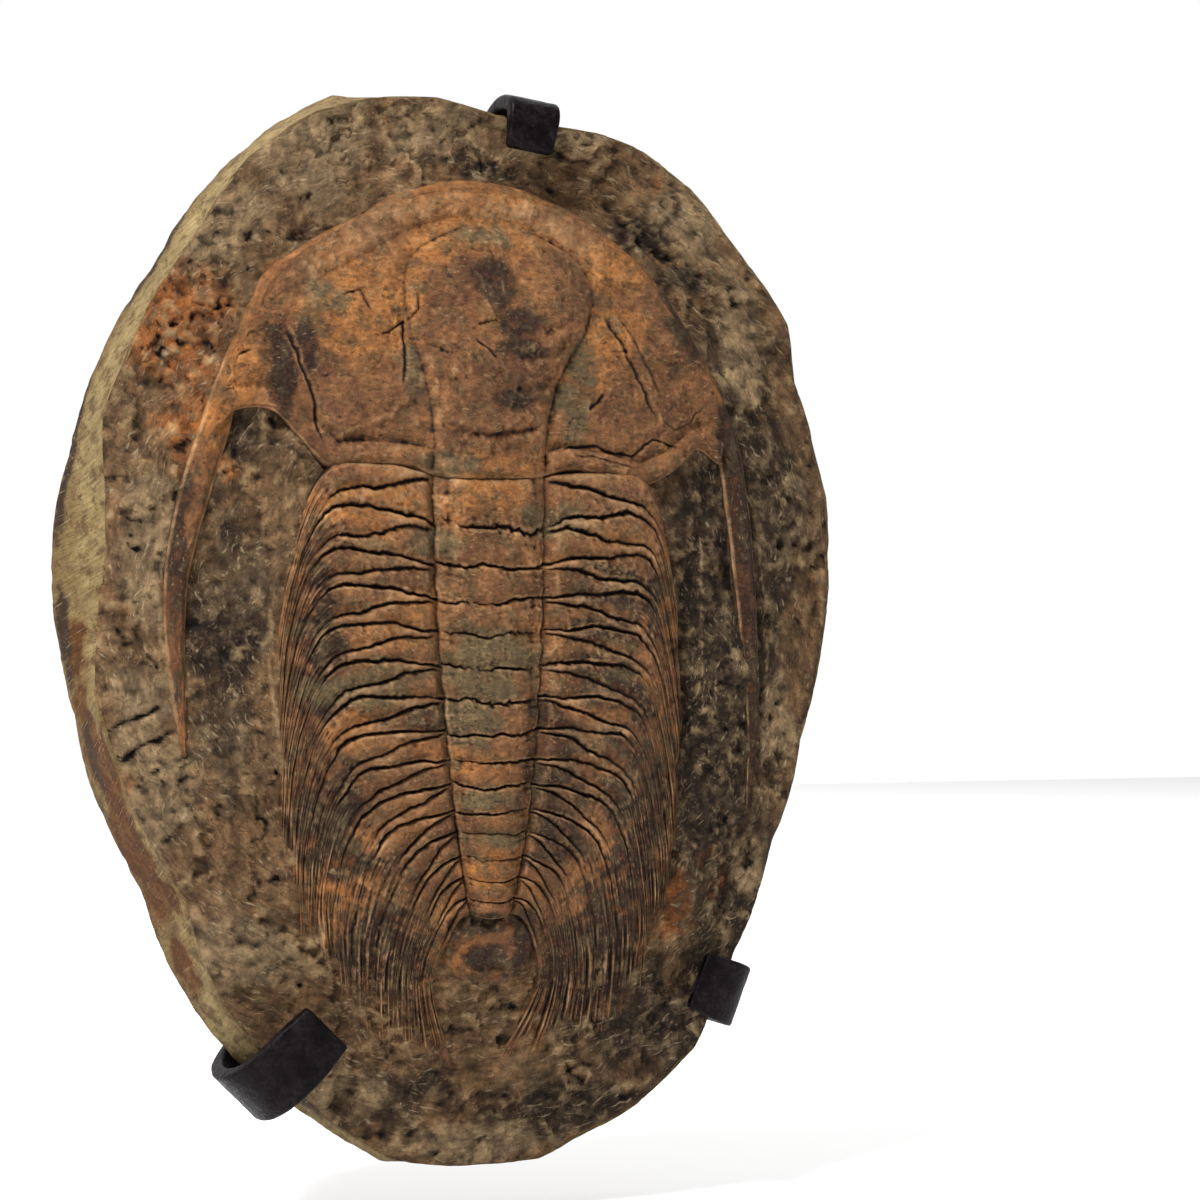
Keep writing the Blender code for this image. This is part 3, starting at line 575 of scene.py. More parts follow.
def grains(tree, places, size, low, high, detail=3.0, stretch=(1, 1, 1), turn=(0, 0, 0), keep=0.5):
    """Share from 0 to 1 from noise of a size in millimetres, rising between two noise levels. Each
    finer detail keeps a share of the strength of the one before it."""
    turned = add(tree, "ShaderNodeMapping", {0: places, 2: turn, 3: stretch})
    inputs = {0: turned.outputs[0], "Scale": 1 / (size * MM), "Detail": detail, "Roughness": keep}
    field = add(tree, "ShaderNodeTexNoise", inputs)
    ramp = add(
        tree, "ShaderNodeMapRange", {0: field.outputs[0], 1: low, 2: high}, interpolation_type="SMOOTHSTEP"
    )
    return ramp.outputs[0]


def bump(tree, shader, layers):
    """Stacks bumps of a height in millimetres on the shader, from shares."""
    normal = None
    for height, share in layers:
        made = add(tree, "ShaderNodeBump", {"Distance": height * MM, "Height": share})
        if normal:
            tree.links.new(normal, made.inputs["Normal"])
        normal = made.outputs[0]
    tree.links.new(normal, shader.inputs["Normal"])


def lines_between(tree, places, size, width, detail):
    """Share from 0 to 1 of thin wandering lines, where noise of a size crosses its middle value."""
    inputs = {0: places, "Scale": 1 / (size * MM), "Detail": detail}
    field = add(tree, "ShaderNodeTexNoise", inputs)
    off = add(tree, "ShaderNodeMath", {0: field.outputs[0], 1: 0.5}, operation="SUBTRACT")
    away = add(tree, "ShaderNodeMath", {0: off.outputs[0]}, operation="ABSOLUTE")
    return add(tree, "ShaderNodeMapRange", {0: away.outputs[0], 1: width, 2: 0.0}).outputs[0]


def times(tree, one, other):
    """Product of two shares."""
    return add(tree, "ShaderNodeMath", {0: one, 1: other}, operation="MULTIPLY").outputs[0]


def stone_material(name, base, tints, hollow, worn, roughness, strokes):
    """Stone whose base colour is tinted by the piece's three stain masks and scored along its grain by
    strokes: their width in millimetres, their length over their width, their strength, the strength of the
    mottling, and the dark and pale colours. The fourth mask paints shade into hollows in the hollow colour,
    which also marks pits and cracks, and lightens edges and ridges in the worn colour. That pale is partly
    wear and partly painted highlight. Grit is drawn about ten times as coarse as real silt, which is too
    fine to show."""
    material, tree, shader, places = new_material(name, Roughness=roughness, Specular_IOR_Level=0.15)
    stains = add(tree, "ShaderNodeAttribute", attribute_name="stains")
    grain = add(tree, "ShaderNodeAttribute", attribute_name="grain").outputs["Vector"]
    masks = add(tree, "ShaderNodeSeparateColor", {0: stains.outputs["Color"]})
    colour = mix(tree, grains(tree, places, 24, 0.36, 0.64, 7, keep=0.66), *base)
    edges = grains(tree, places, 7, 0.3, 0.7, 8, keep=0.68)
    for mask, tint in zip(masks.outputs, tints):
        broken = add(tree, "ShaderNodeMath", {0: mask, 1: edges}, operation="ADD")
        share = add(tree, "ShaderNodeMapRange", {0: broken.outputs[0], 1: 0.4, 2: 1.45})
        colour = mix(tree, share.outputs[0], colour, tint)
    width, length, strength, mottling, dark, pale = strokes
    long = (1 / length, 1, 1)
    patches = grains(tree, places, 14, 0.4, 0.6, 3)
    clouds = grains(tree, places, 9, 0.3, 0.7, 8, keep=0.74)
    lighter = mix(tree, mottling, colour, "#dcd6cc", "SOFT_LIGHT")
    colour = mix(tree, clouds, mix(tree, mottling, colour, dark), lighter)
    scores = grains(tree, grain, width * 2.4, 0.34, 0.62, 4, long)
    colour = mix(tree, scores, mix(tree, strength, colour, dark), colour)
    nicks = grains(tree, grain, width * 1.8, 0.58, 0.68, 3, long, (0, 0, 0.3))
    nicks = times(tree, nicks, patches)
    colour = mix(tree, nicks, colour, mix(tree, strength, colour, pale))
    chips = times(tree, grains(tree, places, 1.5, 0.62, 0.72, 2), grains(tree, places, 9, 0.42, 0.6, 3))
    colour = mix(tree, chips, colour, mix(tree, 0.3, colour, pale))
    pits = grains(tree, places, 1.6, 0.40, 0.28, 3)
    colour = mix(tree, pits, colour, mix(tree, 0.55, colour, hollow))
    cracks = times(tree, lines_between(tree, places, 13, 0.006, 7), grains(tree, places, 19, 0.5, 0.62, 2))
    colour = mix(tree, cracks, colour, mix(tree, 0.8, colour, hollow))
    # Painted shade in the hollows, and on edges and ridges a pale that is partly wear and partly painted
    # highlight.
    relief = stains.outputs["Alpha"]
    painted_hollow_shade = add(tree, "ShaderNodeMapRange", {0: relief, 1: 0.52, 2: 0.85})
    high = add(tree, "ShaderNodeMapRange", {0: relief, 1: 0.46, 2: 0.14, 4: 0.85})
    colour = mix(tree, painted_hollow_shade.outputs[0], colour, hollow)
    colour = mix(tree, times(tree, high.outputs[0], clouds), colour, worn)
    tree.links.new(colour, shader.inputs["Base Color"])
    layers = ((3.0 * mottling, clouds), (0.6 * strength, scores), (0.6 * strength, nicks), (0.4, chips))
    bump(tree, shader, layers)
    return material


def iron_material():
    """Forged iron under wax: not bare metal but its dark skin of scale, so it looks like a dull dark
    coat with a satin sheen, rubbed a little brighter in places. Its scale is drawn 1.6 mm wide, a few
    times the real one, to show."""
    material, tree, shader, places = new_material("waxed_black_iron", Metallic=0.0, Specular_IOR_Level=0.06)
    worn = grains(tree, places, 9, 0.35, 0.7, 5)
    scale = grains(tree, places, 1.6, 0.35, 0.65, 3)
    colour = mix(tree, worn, "#060304", "#0f0a0b")
    colour = mix(tree, times(tree, scale, worn), colour, "#1d181a")
    tree.links.new(colour, shader.inputs["Base Color"])
    rough_share = add(tree, "ShaderNodeMapRange", {0: scale, 3: 0.38, 4: 0.56})
    tree.links.new(rough_share.outputs[0], shader.inputs["Roughness"])
    bump(tree, shader, ((0.25, worn), (0.1, scale)))
    return material


def steel_material():
    """Blackened bolt steel: dark, metallic, a little bright on the crests of its thread."""
    material, tree, shader, places = new_material("blackened_steel", Metallic=0.8, Roughness=0.38)
    colour = mix(tree, grains(tree, places, 2, 0.3, 0.7, 3), "#19171a", "#2b282b")
    tree.links.new(colour, shader.inputs["Base Color"])
    return material


def ammonite_material():
    """Polished ammonite: brown calcite under a clear polish, with cream suture lines across the
    whorl. The grain holds the way round the whorls and across one, and the stains the dark mouth,
    the pale seams between whorls and the light rim."""
    material, tree, shader, places = new_material(
        "polished_ammonite", Roughness=0.24, Coat_Weight=0.5, Coat_Roughness=0.08, Specular_IOR_Level=0.5
    )
    stains = add(tree, "ShaderNodeAttribute", attribute_name="stains")
    grain = add(tree, "ShaderNodeAttribute", attribute_name="grain").outputs["Vector"]
    masks = add(tree, "ShaderNodeSeparateColor", {0: stains.outputs["Color"]})
    colour = mix(tree, grains(tree, places, 12, 0.35, 0.65, 5), "#4a2413", "#8f5426")
    colour = mix(tree, grains(tree, places, 5, 0.5, 0.75, 4), colour, "#b98448")
    wandering = {0: grain, "Scale": 34.0, "Distortion": 5.0, "Detail": 3.0, "Detail Scale": 5.0}
    sutures = add(tree, "ShaderNodeTexWave", wandering, bands_direction="X", wave_profile="SIN")
    lines = add(tree, "ShaderNodeMapRange", {0: sutures.outputs[1], 1: 0.93, 2: 0.985})
    colour = mix(tree, lines.outputs[0], colour, "#d3bd92")
    colour = mix(tree, masks.outputs[1], colour, "#cdb68c")
    inside = mix(tree, grains(tree, places, 3, 0.3, 0.7, 4), "#1c1512", "#4a382d")
    colour = mix(tree, masks.outputs[0], colour, inside)
    tree.links.new(colour, shader.inputs["Base Color"])
    bump(tree, shader, ((0.25, grains(tree, places, 4, 0.3, 0.7, 4)),))
    return material


def relief_mask(relief, reach, depth):
    """Hollows as the fourth mask: 0.5 on even ground, 1 in hollows of that depth, 0 on edges. It sets
    painted shade in hollows, and on edges a pale that is partly wear and partly painted highlight.
    """
    return np.clip(0.5 + 0.5 * hollows(relief, reach) / depth, 0, 1)


def stained(x, height, spots, seed):
    """Share from 0 to 1 of a stain: soft ellipses of middle x, middle height and half sizes, whose
    edges noise breaks up."""
    broken = 0.35 * rough(flat(x, height), 13, 5, seed)
    total = np.full(np.shape(x), 2.0)
    for middle_x, middle_height, half_x, half_height in spots:
        total = np.minimum(total, np.hypot((x - middle_x) / half_x, (height - middle_height) / half_height))
    return step(1.35, 0.55, total + broken)


def stain_masks(x, height, spots, relief, reach, depth, extra=(0, 0, 0)):
    """The four masks of a stone piece: three stains, with more of each where extra says, which in places
    adds painted shade to the dark one, and its hollows, which set painted shade and highlight, less where a
    thin pale line runs or the painted highlight along the brow lies."""
    masks = [np.clip(stained(x, height, spot, 81 + k) + extra[k], 0, 1) for k, spot in enumerate(spots)]
    # The pale lines lower the hollows mask toward the pale colour; the wide band along the brow among them
    # is a painted highlight.
    pale = 0 if spots is EDGE_SPOTS else 0.5 * carved(x, height, PALE_LINES_AND_BROW_HIGHLIGHT)
    return np.stack([*masks, np.clip(relief_mask(relief, reach, depth) + pale, 0, 1)], axis=-1)


def carved(x, height, lines):
    """Grooves along lines, each a depth and half width and its corners: a bell across that fades out
    at both ends. A negative depth raises a ridge. The lines wander with noise."""
    at = flat(x, height)
    bent_x = x + 0.7 * rough(at, 6, 3, 91)
    bent_height = height + 0.7 * rough(at, 6, 3, 92)
    total = np.zeros(np.shape(x))
    for depth, width, corners in lines:
        away, share = near_line(bent_x, bent_height, corners)
        total -= depth * bell(away, width) * step(0, 0.15, share) * step(1, 0.85, share)
    return total


def polar_grain(x, height):
    """Arc and radius around the slab's centre in metres, along and across the pale squiggles that
    follow the slab's outline. Noise bends them."""
    at = flat(x, height)
    radius = np.hypot(x, height - CENTRE_HEIGHT) + 3.0 * rough(at, 14, 3, 93)
    arc = np.arctan2(height - CENTRE_HEIGHT, x) * GRAIN_RADIUS
    return np.stack([arc, radius], axis=-1) * MM


def matrix_relief(x, height):
    """Chiselled face: broad dressed hollows, tool strokes round the slab, the trench along the head's
    upper right, broken ledges and grit."""
    at = flat(x, height)
    grain = polar_grain(x, height) / MM
    strokes = np.stack([grain[..., 0] / 7, grain[..., 1] / 2.2, 0 * x], axis=-1)
    relief = 1.2 * rough(at, 30, 4, 1) + 0.9 * rough(at, 9, 5, 5) + 0.3 * rough(strokes, 1, 4, 9)
    ledges = 1.3 * step(-0.05, 0.05, rough(at, 42, 6, 13, 0.6) - 0.15)
    scars = 0.9 * step(-0.04, 0.04, rough(at, 17, 5, 15, 0.6) - 0.2)
    return relief + ledges - scars + carved(x, height, MATRIX_LINES)


def chipped(angle, seed):
    """How far the broken rim falls short of its corners' outline, in millimetres, round the slab."""
    at = GRAIN_RADIUS * np.stack([np.cos(angle), np.sin(angle), 0 * angle], axis=-1)
    return np.maximum(0.5 + 0.7 * rough(at, 30, 6, seed, 0.5), 0.15)


def make_matrix_face(material):
    """Annulus from an ellipse under the body to the slab's rim: each ring lies a share of the way
    between them, at the depth of the dome plus the chiselled relief."""
    angle = np.arange(FACE_COLUMNS) * 2 * math.pi / FACE_COLUMNS
    radius = edge_at(FRONT_EDGE, angle)[0] - chipped(angle, 3)
    middle_x, middle_height, half_x, half_height = UNDER_BODY
    share = np.linspace(0, 1, FACE_RINGS)[:, None]
    inner_x = middle_x + half_x * np.cos(angle)
    inner_height = middle_height + half_height * np.sin(angle)
    x = inner_x + share * (radius * np.cos(angle) - inner_x)
    height = inner_height + share * (CENTRE_HEIGHT + radius * np.sin(angle) - inner_height)
    relief = matrix_relief(x, height)
    sunk = 5.0 * (1 - step(0.0, 0.06, share))
    fade = 1 - 0.5 * step(0.9, 1, share)
    depth = front_depth(x, height) + fade * (relief - 1.7) - sunk - 1.5 * step(0.96, 1, share) ** 2
    depth = np.where(share > 0.999, np.minimum(depth, front_depth(x, height) - 1.8), depth)
    depth = np.minimum(depth, FRONT_LIMIT)
    # Painted shade: the dark stain mask darkens the right part of the face, with a random tone added.
    dark_tone_and_painted_shade = step(70, 110, x) * step(140, 80, height) * step(150, 135, x)
    dark_tone_and_painted_shade = dark_tone_and_painted_shade + 0.3 * noise(flat(x, height), 26, 18)
    extra = (0, dark_tone_and_painted_shade, 0.3 * noise(flat(x, height), 34, 19))
    masks = stain_masks(x, height, MATRIX_SPOTS, relief, 4, 1.7, extra)
    first = place(middle_x, 60, middle_height)
    last = place(middle_x, 40, middle_height)
    return closed_tube(
        "matrix_face", place(x, depth, height), first, last, material, "matrix",
        stains=masks.reshape(-1, 4), grain=polar_grain(x, height).reshape(-1, 2),
    )


def make_edge_and_back(material):
    """Rings from the front rim down the edge to the back rim, then inward over the back. The edge is
    scored by slanting saw marks that fade toward its rough back, and the back is broken stone."""
    angle = np.arange(EDGE_COLUMNS) * 2 * math.pi / EDGE_COLUMNS
    front_radius, front_rim = edge_at(FRONT_EDGE, angle)
    back_radius, back_rim = edge_at(BACK_EDGE, angle)
    front_radius = front_radius - chipped(angle, 3)
    back_radius = back_radius - chipped(angle, 4)
    down = np.linspace(0, 1, EDGE_ROWS)[:, None]
    inward = np.linspace(1, 0.02, BACK_RINGS)[1:, None]
    side = front_radius + down * (back_radius - front_radius)
    radius = np.concatenate([front_radius[None] - LIP_WIDTH, side, back_radius * inward])
    side = front_rim - RIM_DROP + down * (back_rim - front_rim + RIM_DROP)
    hollow = BACK_DEPTH + (back_rim - BACK_DEPTH) * inward**4
    depth = np.concatenate([front_rim[None] - LIP_DROP, side, hollow])
    sawn = np.concatenate([[[0]], step(0, 0.1, down) * step(0.97, 0.85, down), 0 * inward]) + 0 * radius
    at = np.stack([radius * np.cos(angle), depth, radius * np.sin(angle)], axis=-1)
    height = CENTRE_HEIGHT + at[..., 2]
    bent = 3 * noise(at, 45, 14)
    along_saw = -0.8 * at[..., 0] - 0.87 * depth - 0.5 * height
    across_saw = 0.1 * at[..., 0] + 0.5 * depth - 0.87 * height + bent
    way = np.stack([along_saw, across_saw], axis=-1)
    marks = np.stack([way[..., 0] / 20, way[..., 1] / 1.7, 0 * radius], axis=-1)
    relief = (1 - 0.75 * sawn) * (0.9 * rough(at, 14, 5, 11)) + sawn * (0.2 * rough(marks, 1, 3, 12))
    relief = relief - 0.4
    back = np.concatenate([[[0]], 0 * down, 1 + 0 * inward]) + 0 * radius
    radius = radius + (1 - back) * np.minimum(relief, 0)
    depth = depth - back * np.minimum(relief, 0)
    extra = (0.4 * sawn, 0.4 * back * noise(at, 30, 18), 0.5 * back * noise(at, 22, 17))
    inside = np.concatenate([[[0]], 0 * down, step(0.98, 0.8, inward)]) + 0 * radius
    masks = stain_masks(depth + 60 * inside, height, EDGE_SPOTS, relief, 2, 1.6, extra)
    rings = place(radius * np.cos(angle), depth, CENTRE_HEIGHT + radius * np.sin(angle))
    first = place(0, 30, CENTRE_HEIGHT)
    last = place(0, BACK_DEPTH, CENTRE_HEIGHT)
    return closed_tube(
        "slab_edge_and_back", rings, first, last, material, "matrix",
        stains=masks.reshape(-1, 4), grain=way.reshape(-1, 2) * MM,
    )


def fossil_sheet(name, x, height, relief, shade_and_highlight_size, extra, material, grain=None, pale_rim=0):
    """Closed sheet on the dome at a relief in millimetres, kept behind the solid's front. The pair after
    the relief gives the reach in grid steps and the depth of what counts as a hollow, which set where shade
    is painted into hollows and highlight onto edges. Extra adds to the shell's stains, and the grain runs
    along x where none is given."""
    under = front_depth(x, height)
    top = place(x, np.minimum(under + relief, FRONT_LIMIT), height)
    root = place(x, under - SHEET_ROOT, height)
    stains = stain_masks(x, height, SHELL_SPOTS, relief, *shade_and_highlight_size, extra)
    stains[..., 3] = np.clip(stains[..., 3] - pale_rim, 0, 1)
    grain = np.stack([x, height], axis=-1) if grain is None else grain
    masks = {"stains": stains.reshape(-1, 4), "grain": grain.reshape(-1, 2) * MM}
    return closed_sheet(name, top, root, material, "matrix", **masks)


def arch(t, power=0.6):
    """Rounded rise from 0 at the ends of 0 to 1 to 1 in the middle."""
    return np.sin(math.pi * np.clip(t, 0, 1)) ** power


def flakes(x, height, seed):
    """1 where the outer skin of the shell is left and 0 where it has flaked off, with ragged edges."""
    return step(-0.02, 0.05, rough(flat(x, height), 15, 6, seed, 0.6) + 0.12)


def pleura_relief(s, p, x, height):
    """Side lobe: each segment has a lens-shaped front band and a rear band, with an oblique furrow
    between, and past the bend one spine. Thin cracks part the segments and follow the furrows."""
    at = flat(x, height)
    wobble = 0.07 * rough(at, 13, 5, 21, 0.6) * step(0, 0.5, s) * step(15, 14.5, s)
    g = (s + wobble) % 1.0
    past_bend = step(0.34, 0.56, p + 0.07 * rough(at, 12, 4, 22))
    furrow = 0.10 + 0.62 * step(-0.02, 0.36, p)
    front = arch(g / furrow, 0.8) * np.clip(furrow / 0.3, 0.2, 1)
    rear = arch((g - furrow) / (1 - furrow), 0.8) * np.clip((1 - furrow) / 0.4, 0.35, 1)
    bands = 3.4 * np.where(g < furrow, front, rear)
    streaks = np.stack([p * LINE_LENGTH / 26, s * 12 / 1.5, 0 * s], axis=-1)
    spine = 0.9 * arch(g, 0.8) + 0.6 * rough(streaks, 1, 4, 23, 0.6)
    crack = np.minimum(g, 1 - g)
    rise = 2.2 * step(0.0, 0.07, p) * (1 - step(0.42, 1.0, p)) + 1.0 * step(0.3, 0.5, p)
    relief = rise + (1 - past_bend) * bands * step(0.0, 0.05, p) + past_bend * spine
    open_share = step(-0.7, 0.1, noise(at, 12, 24))
    relief = relief - 1.9 * open_share * (1 - 0.75 * past_bend) * bell(crack, 0.05)
    inner = step(0.0, 0.04, p) * step(0.42, 0.3, p) * step(-0.6, 0.2, noise(at, 11, 26))
    relief = relief - 1.3 * inner * bell(g - furrow, 0.045) - 0.6 * bell(p, 0.012)
    tip = step(0.72 + 0.12 * noise(streaks, 1, 25), 1.0, p)
    dive = 4.4 * tip + 4.0 * step(0.35, 0.6, p) * (1 - step(0.0, 0.7, s))
    return relief * (1 - 0.25 * s / SEGMENTS) - dive


def make_pleurae(name, lines, side, material):
    """Sheet over one side lobe: rows count the segments and columns run from furrow to spine tip."""
    s, p = np.meshgrid(
        np.linspace(0, SEGMENTS, SEGMENTS * ROWS_PER_SEGMENT + 1),
        np.linspace(0, 1, PLEURA_COLUMNS) ** 1.15,
        indexing="ij",
    )
    if side < 0:
        s, p = s[:, ::-1], p[:, ::-1]
    x, height = np.moveaxis(segment_line(lines, side, s, p), -1, 0)
    relief = pleura_relief(s, p, x, height)
    skin = flakes(x, height, 33)
    relief = relief + 0.3 * skin + 0.16 * rough(flat(x, height), 5, 4, 31)
    spines = step(0.45, 0.75, p)
    along_band = np.stack([2.0 * s + 2 * s * spines, 4 * p, 0 * s + side], axis=-1)
    extra = (
        0.6 * noise(along_band, 1.0, 34) * (1 - 0.5 * spines),
        0.55 * noise(along_band, 1.0, 35) + 0.35 * spines,
        0.5 * noise(along_band, 1.0, 36) - 0.2 * skin,
    )
    grain = np.stack([p * LINE_LENGTH, s * SEGMENT_PITCH], axis=-1)
    return fossil_sheet(name, x, height, relief, (2, 0.55), extra, material, grain)


def make_axis(material):
    """Middle lobe: one ring per segment between wavy cracks, crowned across."""
    s, tau = np.meshgrid(
        np.linspace(0, SEGMENTS, SEGMENTS * ROWS_PER_SEGMENT + 1),
        np.linspace(-1.04, 1.04, AXIS_COLUMNS),
        indexing="ij",
    )
    half = axis_half(s) * (1 + 0.05 * np.sin(math.pi * (s % 1.0)) - 0.03)
    height = smooth(s, np.arange(SEGMENTS + 1), RING_EDGES) - 2.0 * (1 - tau**2)
    x = AXIS_X + tau * half
    at = flat(x, height)
    g = (s + 0.13 * rough(at, 15, 5, 41, 0.6) * step(0, 0.5, s) * step(15, 14.5, s)) % 1.0
    out = np.clip(np.abs(tau), 0, 1)
    relief = 5.6 * (1 - out**2.4) + (2.8 * arch(g, 0.6) - 1.8) * (1 - out**8)
    relief = relief * (1 - 0.3 * s / SEGMENTS)
    depth = 1.9 * step(-0.7, 0.2, noise(at, 12, 42))
    relief = relief + 0.9 - depth * bell(np.minimum(g, 1 - g), 0.05) - 1.5 * step(0.98, 1.04, np.abs(tau))
    fold = 0.6 * bell(g - 0.3, 0.08) * step(0.3, 0.8, out)
    relief = relief - 0.9 * bell(out - 0.8, 0.07) * (1 - g) - fold
    relief = relief + 0.7 * rough(at, 11, 5, 47)
    skin = flakes(x, height, 44)
    relief = relief + 0.3 * skin + 0.2 * rough(at, 5, 4, 43)
    per_ring = np.stack([s, 1.5 * tau, 0 * s], axis=-1)
    extra = (0.6 * noise(per_ring, 1.0, 45), 0.5 * noise(per_ring, 1.0, 46), 0.3 * noise(per_ring, 1.0, 48))
    return fossil_sheet("axis_rings", x, height, relief, (2, 0.55), extra, material)


def head_relief(x, height):
    """Low cheeks falling to a furrow inside the border, the glabella swelling forward between its
    furrows, the neck ring, and the raised rear borders, with the sutures and cracks carved in."""
    rows = np.array(GLABELLA, float)
    middle, half = np.moveaxis(smooth(height, rows[:, 0], rows[:, 1:]), -1, 0)
    out = np.abs(x - middle) / half
    edge = near_line(x, height, [point[:2] for point in BORDER[5:21]])[0]
    rear = near_line(x, height, HEAD_REAR)[0]
    cheek = 2.4 + 2.2 * step(8, 34, edge) * step(4, 24, rear)
    border = 1.3 * arch((edge + 5) / 16) - 0.7 * bell(edge - 12, 4)
    swell = 5.0 * np.clip(1 - out**2.4, 0, 1) ** 0.7 * (1 - step(143, 154, height))
    groove = 0.9 * bell(out - 1.05, 0.12) * step(150, 120, height)
    fold = (1.3 * arch(rear / 9) - 1.6 * bell(rear - 10, 2.4)) * step(1.0, 1.2, out)
    return cheek + border + swell - groove + fold + carved(x, height, HEAD_LINES)


def make_head(material):
    """Grid between the rear and the front margin, with an apron that runs down under the body."""
    rear = along(HEAD_REAR, HEAD_COLUMNS)
    front = along(HEAD_FRONT, HEAD_COLUMNS)
    v = np.linspace(1, -HEAD_APRON, HEAD_ROWS)[:, None]
    x = rear[:, 0] + v * (front[:, 0] - rear[:, 0])
    height = rear[:, 1] + v * (front[:, 1] - rear[:, 1])
    at = flat(x, height)
    skin = flakes(x, height, 53)
    relief = head_relief(x, height) + 1.2 * rough(at, 22, 6, 51) + 0.35 * skin + 0.2 * rough(at, 4, 3, 52)
    relief = relief * (0.35 + 0.65 * step(-0.03, 0.04, v)) - 4.2 * step(0.004, -0.02, v)
    extra = (0.35 * noise(at, 16, 54), 0.3 * noise(at, 20, 55), -0.25 * skin)
    return fossil_sheet("head_shield", x, height, relief, (3, 0.8), extra, material)


def make_border(material):
    """Rolled border carried along its line: a rounded profile as wide as the line says, with fine
    ridges along it."""
    line = along(BORDER, BORDER_STEPS)
    forward = np.gradient(line[:, :2], axis=0)
    forward /= np.linalg.norm(forward, axis=1, keepdims=True)
    across = np.stack([-forward[:, 1], forward[:, 0]], axis=1)
    share = np.linspace(1, -1, BORDER_ACROSS)[:, None]
    half = line[:, 2]
    x = line[:, 0] + across[:, 0] * half * share
    height = line[:, 1] + across[:, 1] * half * share
    rise = np.clip(half / 4.0, 0, 1)
    run = np.arange(BORDER_STEPS) * 0.75
    grain = np.stack([run + 0 * share, 5 * share + 0 * half], axis=-1)
    streaks = np.stack([grain[..., 0] / 16, grain[..., 1] / 1.4, 0 * x], axis=-1)
    relief = (4.0 * (1 - np.abs(share) ** 2.6) - 1.5) * rise - 1.5 * (1 - rise)
    relief = relief + 0.3 * rough(streaks, 1, 3, 61) + 0.2 * rough(flat(x, height), 6, 4, 62)
    # The dark stain mask darkens both spines toward their tips, which are dark brown, and the right side
    # more: painted shade there.
    dark_tone_and_painted_shade = step(70, 10, height) * np.where(x > 0, 0.9, 0.45) + 0.25 * step(60, 110, x)
    extra = (0.3 * noise(flat(x, height), 18, 63) + 0.3, 0.3 * noise(flat(x, height), 24, 64) + dark_tone_and_painted_shade, 0)
    rim = 0.42 * bell(np.abs(share) - 0.9, 0.09) * step(100, 108, np.abs(x))
    return fossil_sheet("border_and_spines", x, height, relief, (2, 2.2), extra, material, grain, rim)


def make_tail(material):
    """Oval plate: rings around its middle at a rounded rise, with a nick at its front."""
    middle_x, middle_height, half_x, half_height = TAIL
    angle = np.arange(TAIL_COLUMNS) * 2 * math.pi / TAIL_COLUMNS
    share = np.linspace(0.02, 1.0, TAIL_RINGS)[:, None]
    x = middle_x + share * half_x * np.cos(angle)
    height = middle_height + share * half_height * np.sin(angle)
    at = flat(x, height)
    relief = smooth(share, (0, 0.35, 0.7, 0.92, 1.0), (3.4, 3.2, 2.4, 0.8, -2.4)) + 0 * x
    relief = relief + 0.6 * rough(at, 9, 5, 71) + 0.3 * flakes(x, height, 72)
    relief = relief + carved(x, height, TAIL_LINES)
    extra = (0.3, 0.3 + 0.3 * noise(at, 9, 73) + 0.4 * step(0.6, 1, share), 0)
    masks = stain_masks(x, height, SHELL_SPOTS, relief, 3, 0.8, extra).reshape(-1, 4)
    under = front_depth(x, height)
    rings = place(x, np.minimum(under + relief, FRONT_LIMIT), height)
    first = place(middle_x, np.mean((under + relief)[0]), middle_height)
    last = place(middle_x, under.min() - SHEET_ROOT, middle_height)
    grain = np.stack([x, height], axis=-1).reshape(-1, 2) * MM
    return closed_tube("tail_plate", rings, first, last, material, "matrix", stains=masks, grain=grain)


def bent_bar(line, radius, pace):
    """Places on a line of corners with rounded bends, the way of the line there, how far each is
    from the nearer end and how far from the start. They lie a pace apart, closer at both ends."""
    line = np.asarray(line, float)
    knots = np.concatenate([[0], np.cumsum(np.linalg.norm(np.diff(line, axis=0), axis=1))])
    end = STRAP_CORNER * np.array([0, 0.06, 0.25, 0.6])
    between = np.arange(STRAP_CORNER, knots[-1] - STRAP_CORNER, pace)
    at = np.concatenate([end, between, knots[-1] - end[::-1]])
    room = np.minimum(1, np.minimum(at, knots[-1] - at) / radius)
    path = 0
    for shift in np.linspace(-radius, radius, 9):
        shifted = [np.interp(at + shift * room, knots, line[:, k]) for k in (0, 1)]
        path = path + np.stack(shifted, axis=-1) / 9
    way = np.gradient(path, axis=0)
    way /= np.linalg.norm(way, axis=1, keepdims=True)
    return path, way, np.minimum(at, knots[-1] - at), at


def bar_section(half_width, half_thickness, corner, count):
    """Rounded rectangle as across and through, at evenly spaced points around it."""
    turn = np.linspace(0, math.pi / 2, 6)
    loop = []
    for quarter, (right, up) in enumerate(((1, 1), (-1, 1), (-1, -1), (1, -1))):
        angle = turn + quarter * math.pi / 2
        across = right * (half_width - corner) + corner * np.cos(angle)
        through = up * (half_thickness - corner) + corner * np.sin(angle)
        loop.append(np.stack([across, through], axis=-1))
    loop = np.concatenate([*loop, loop[0][:1]])
    knots = np.concatenate([[0], np.cumsum(np.linalg.norm(np.diff(loop, axis=0), axis=1))])
    at = np.arange(count) * knots[-1] / count
    return np.interp(at, knots, loop[:, 0]), np.interp(at, knots, loop[:, 1])


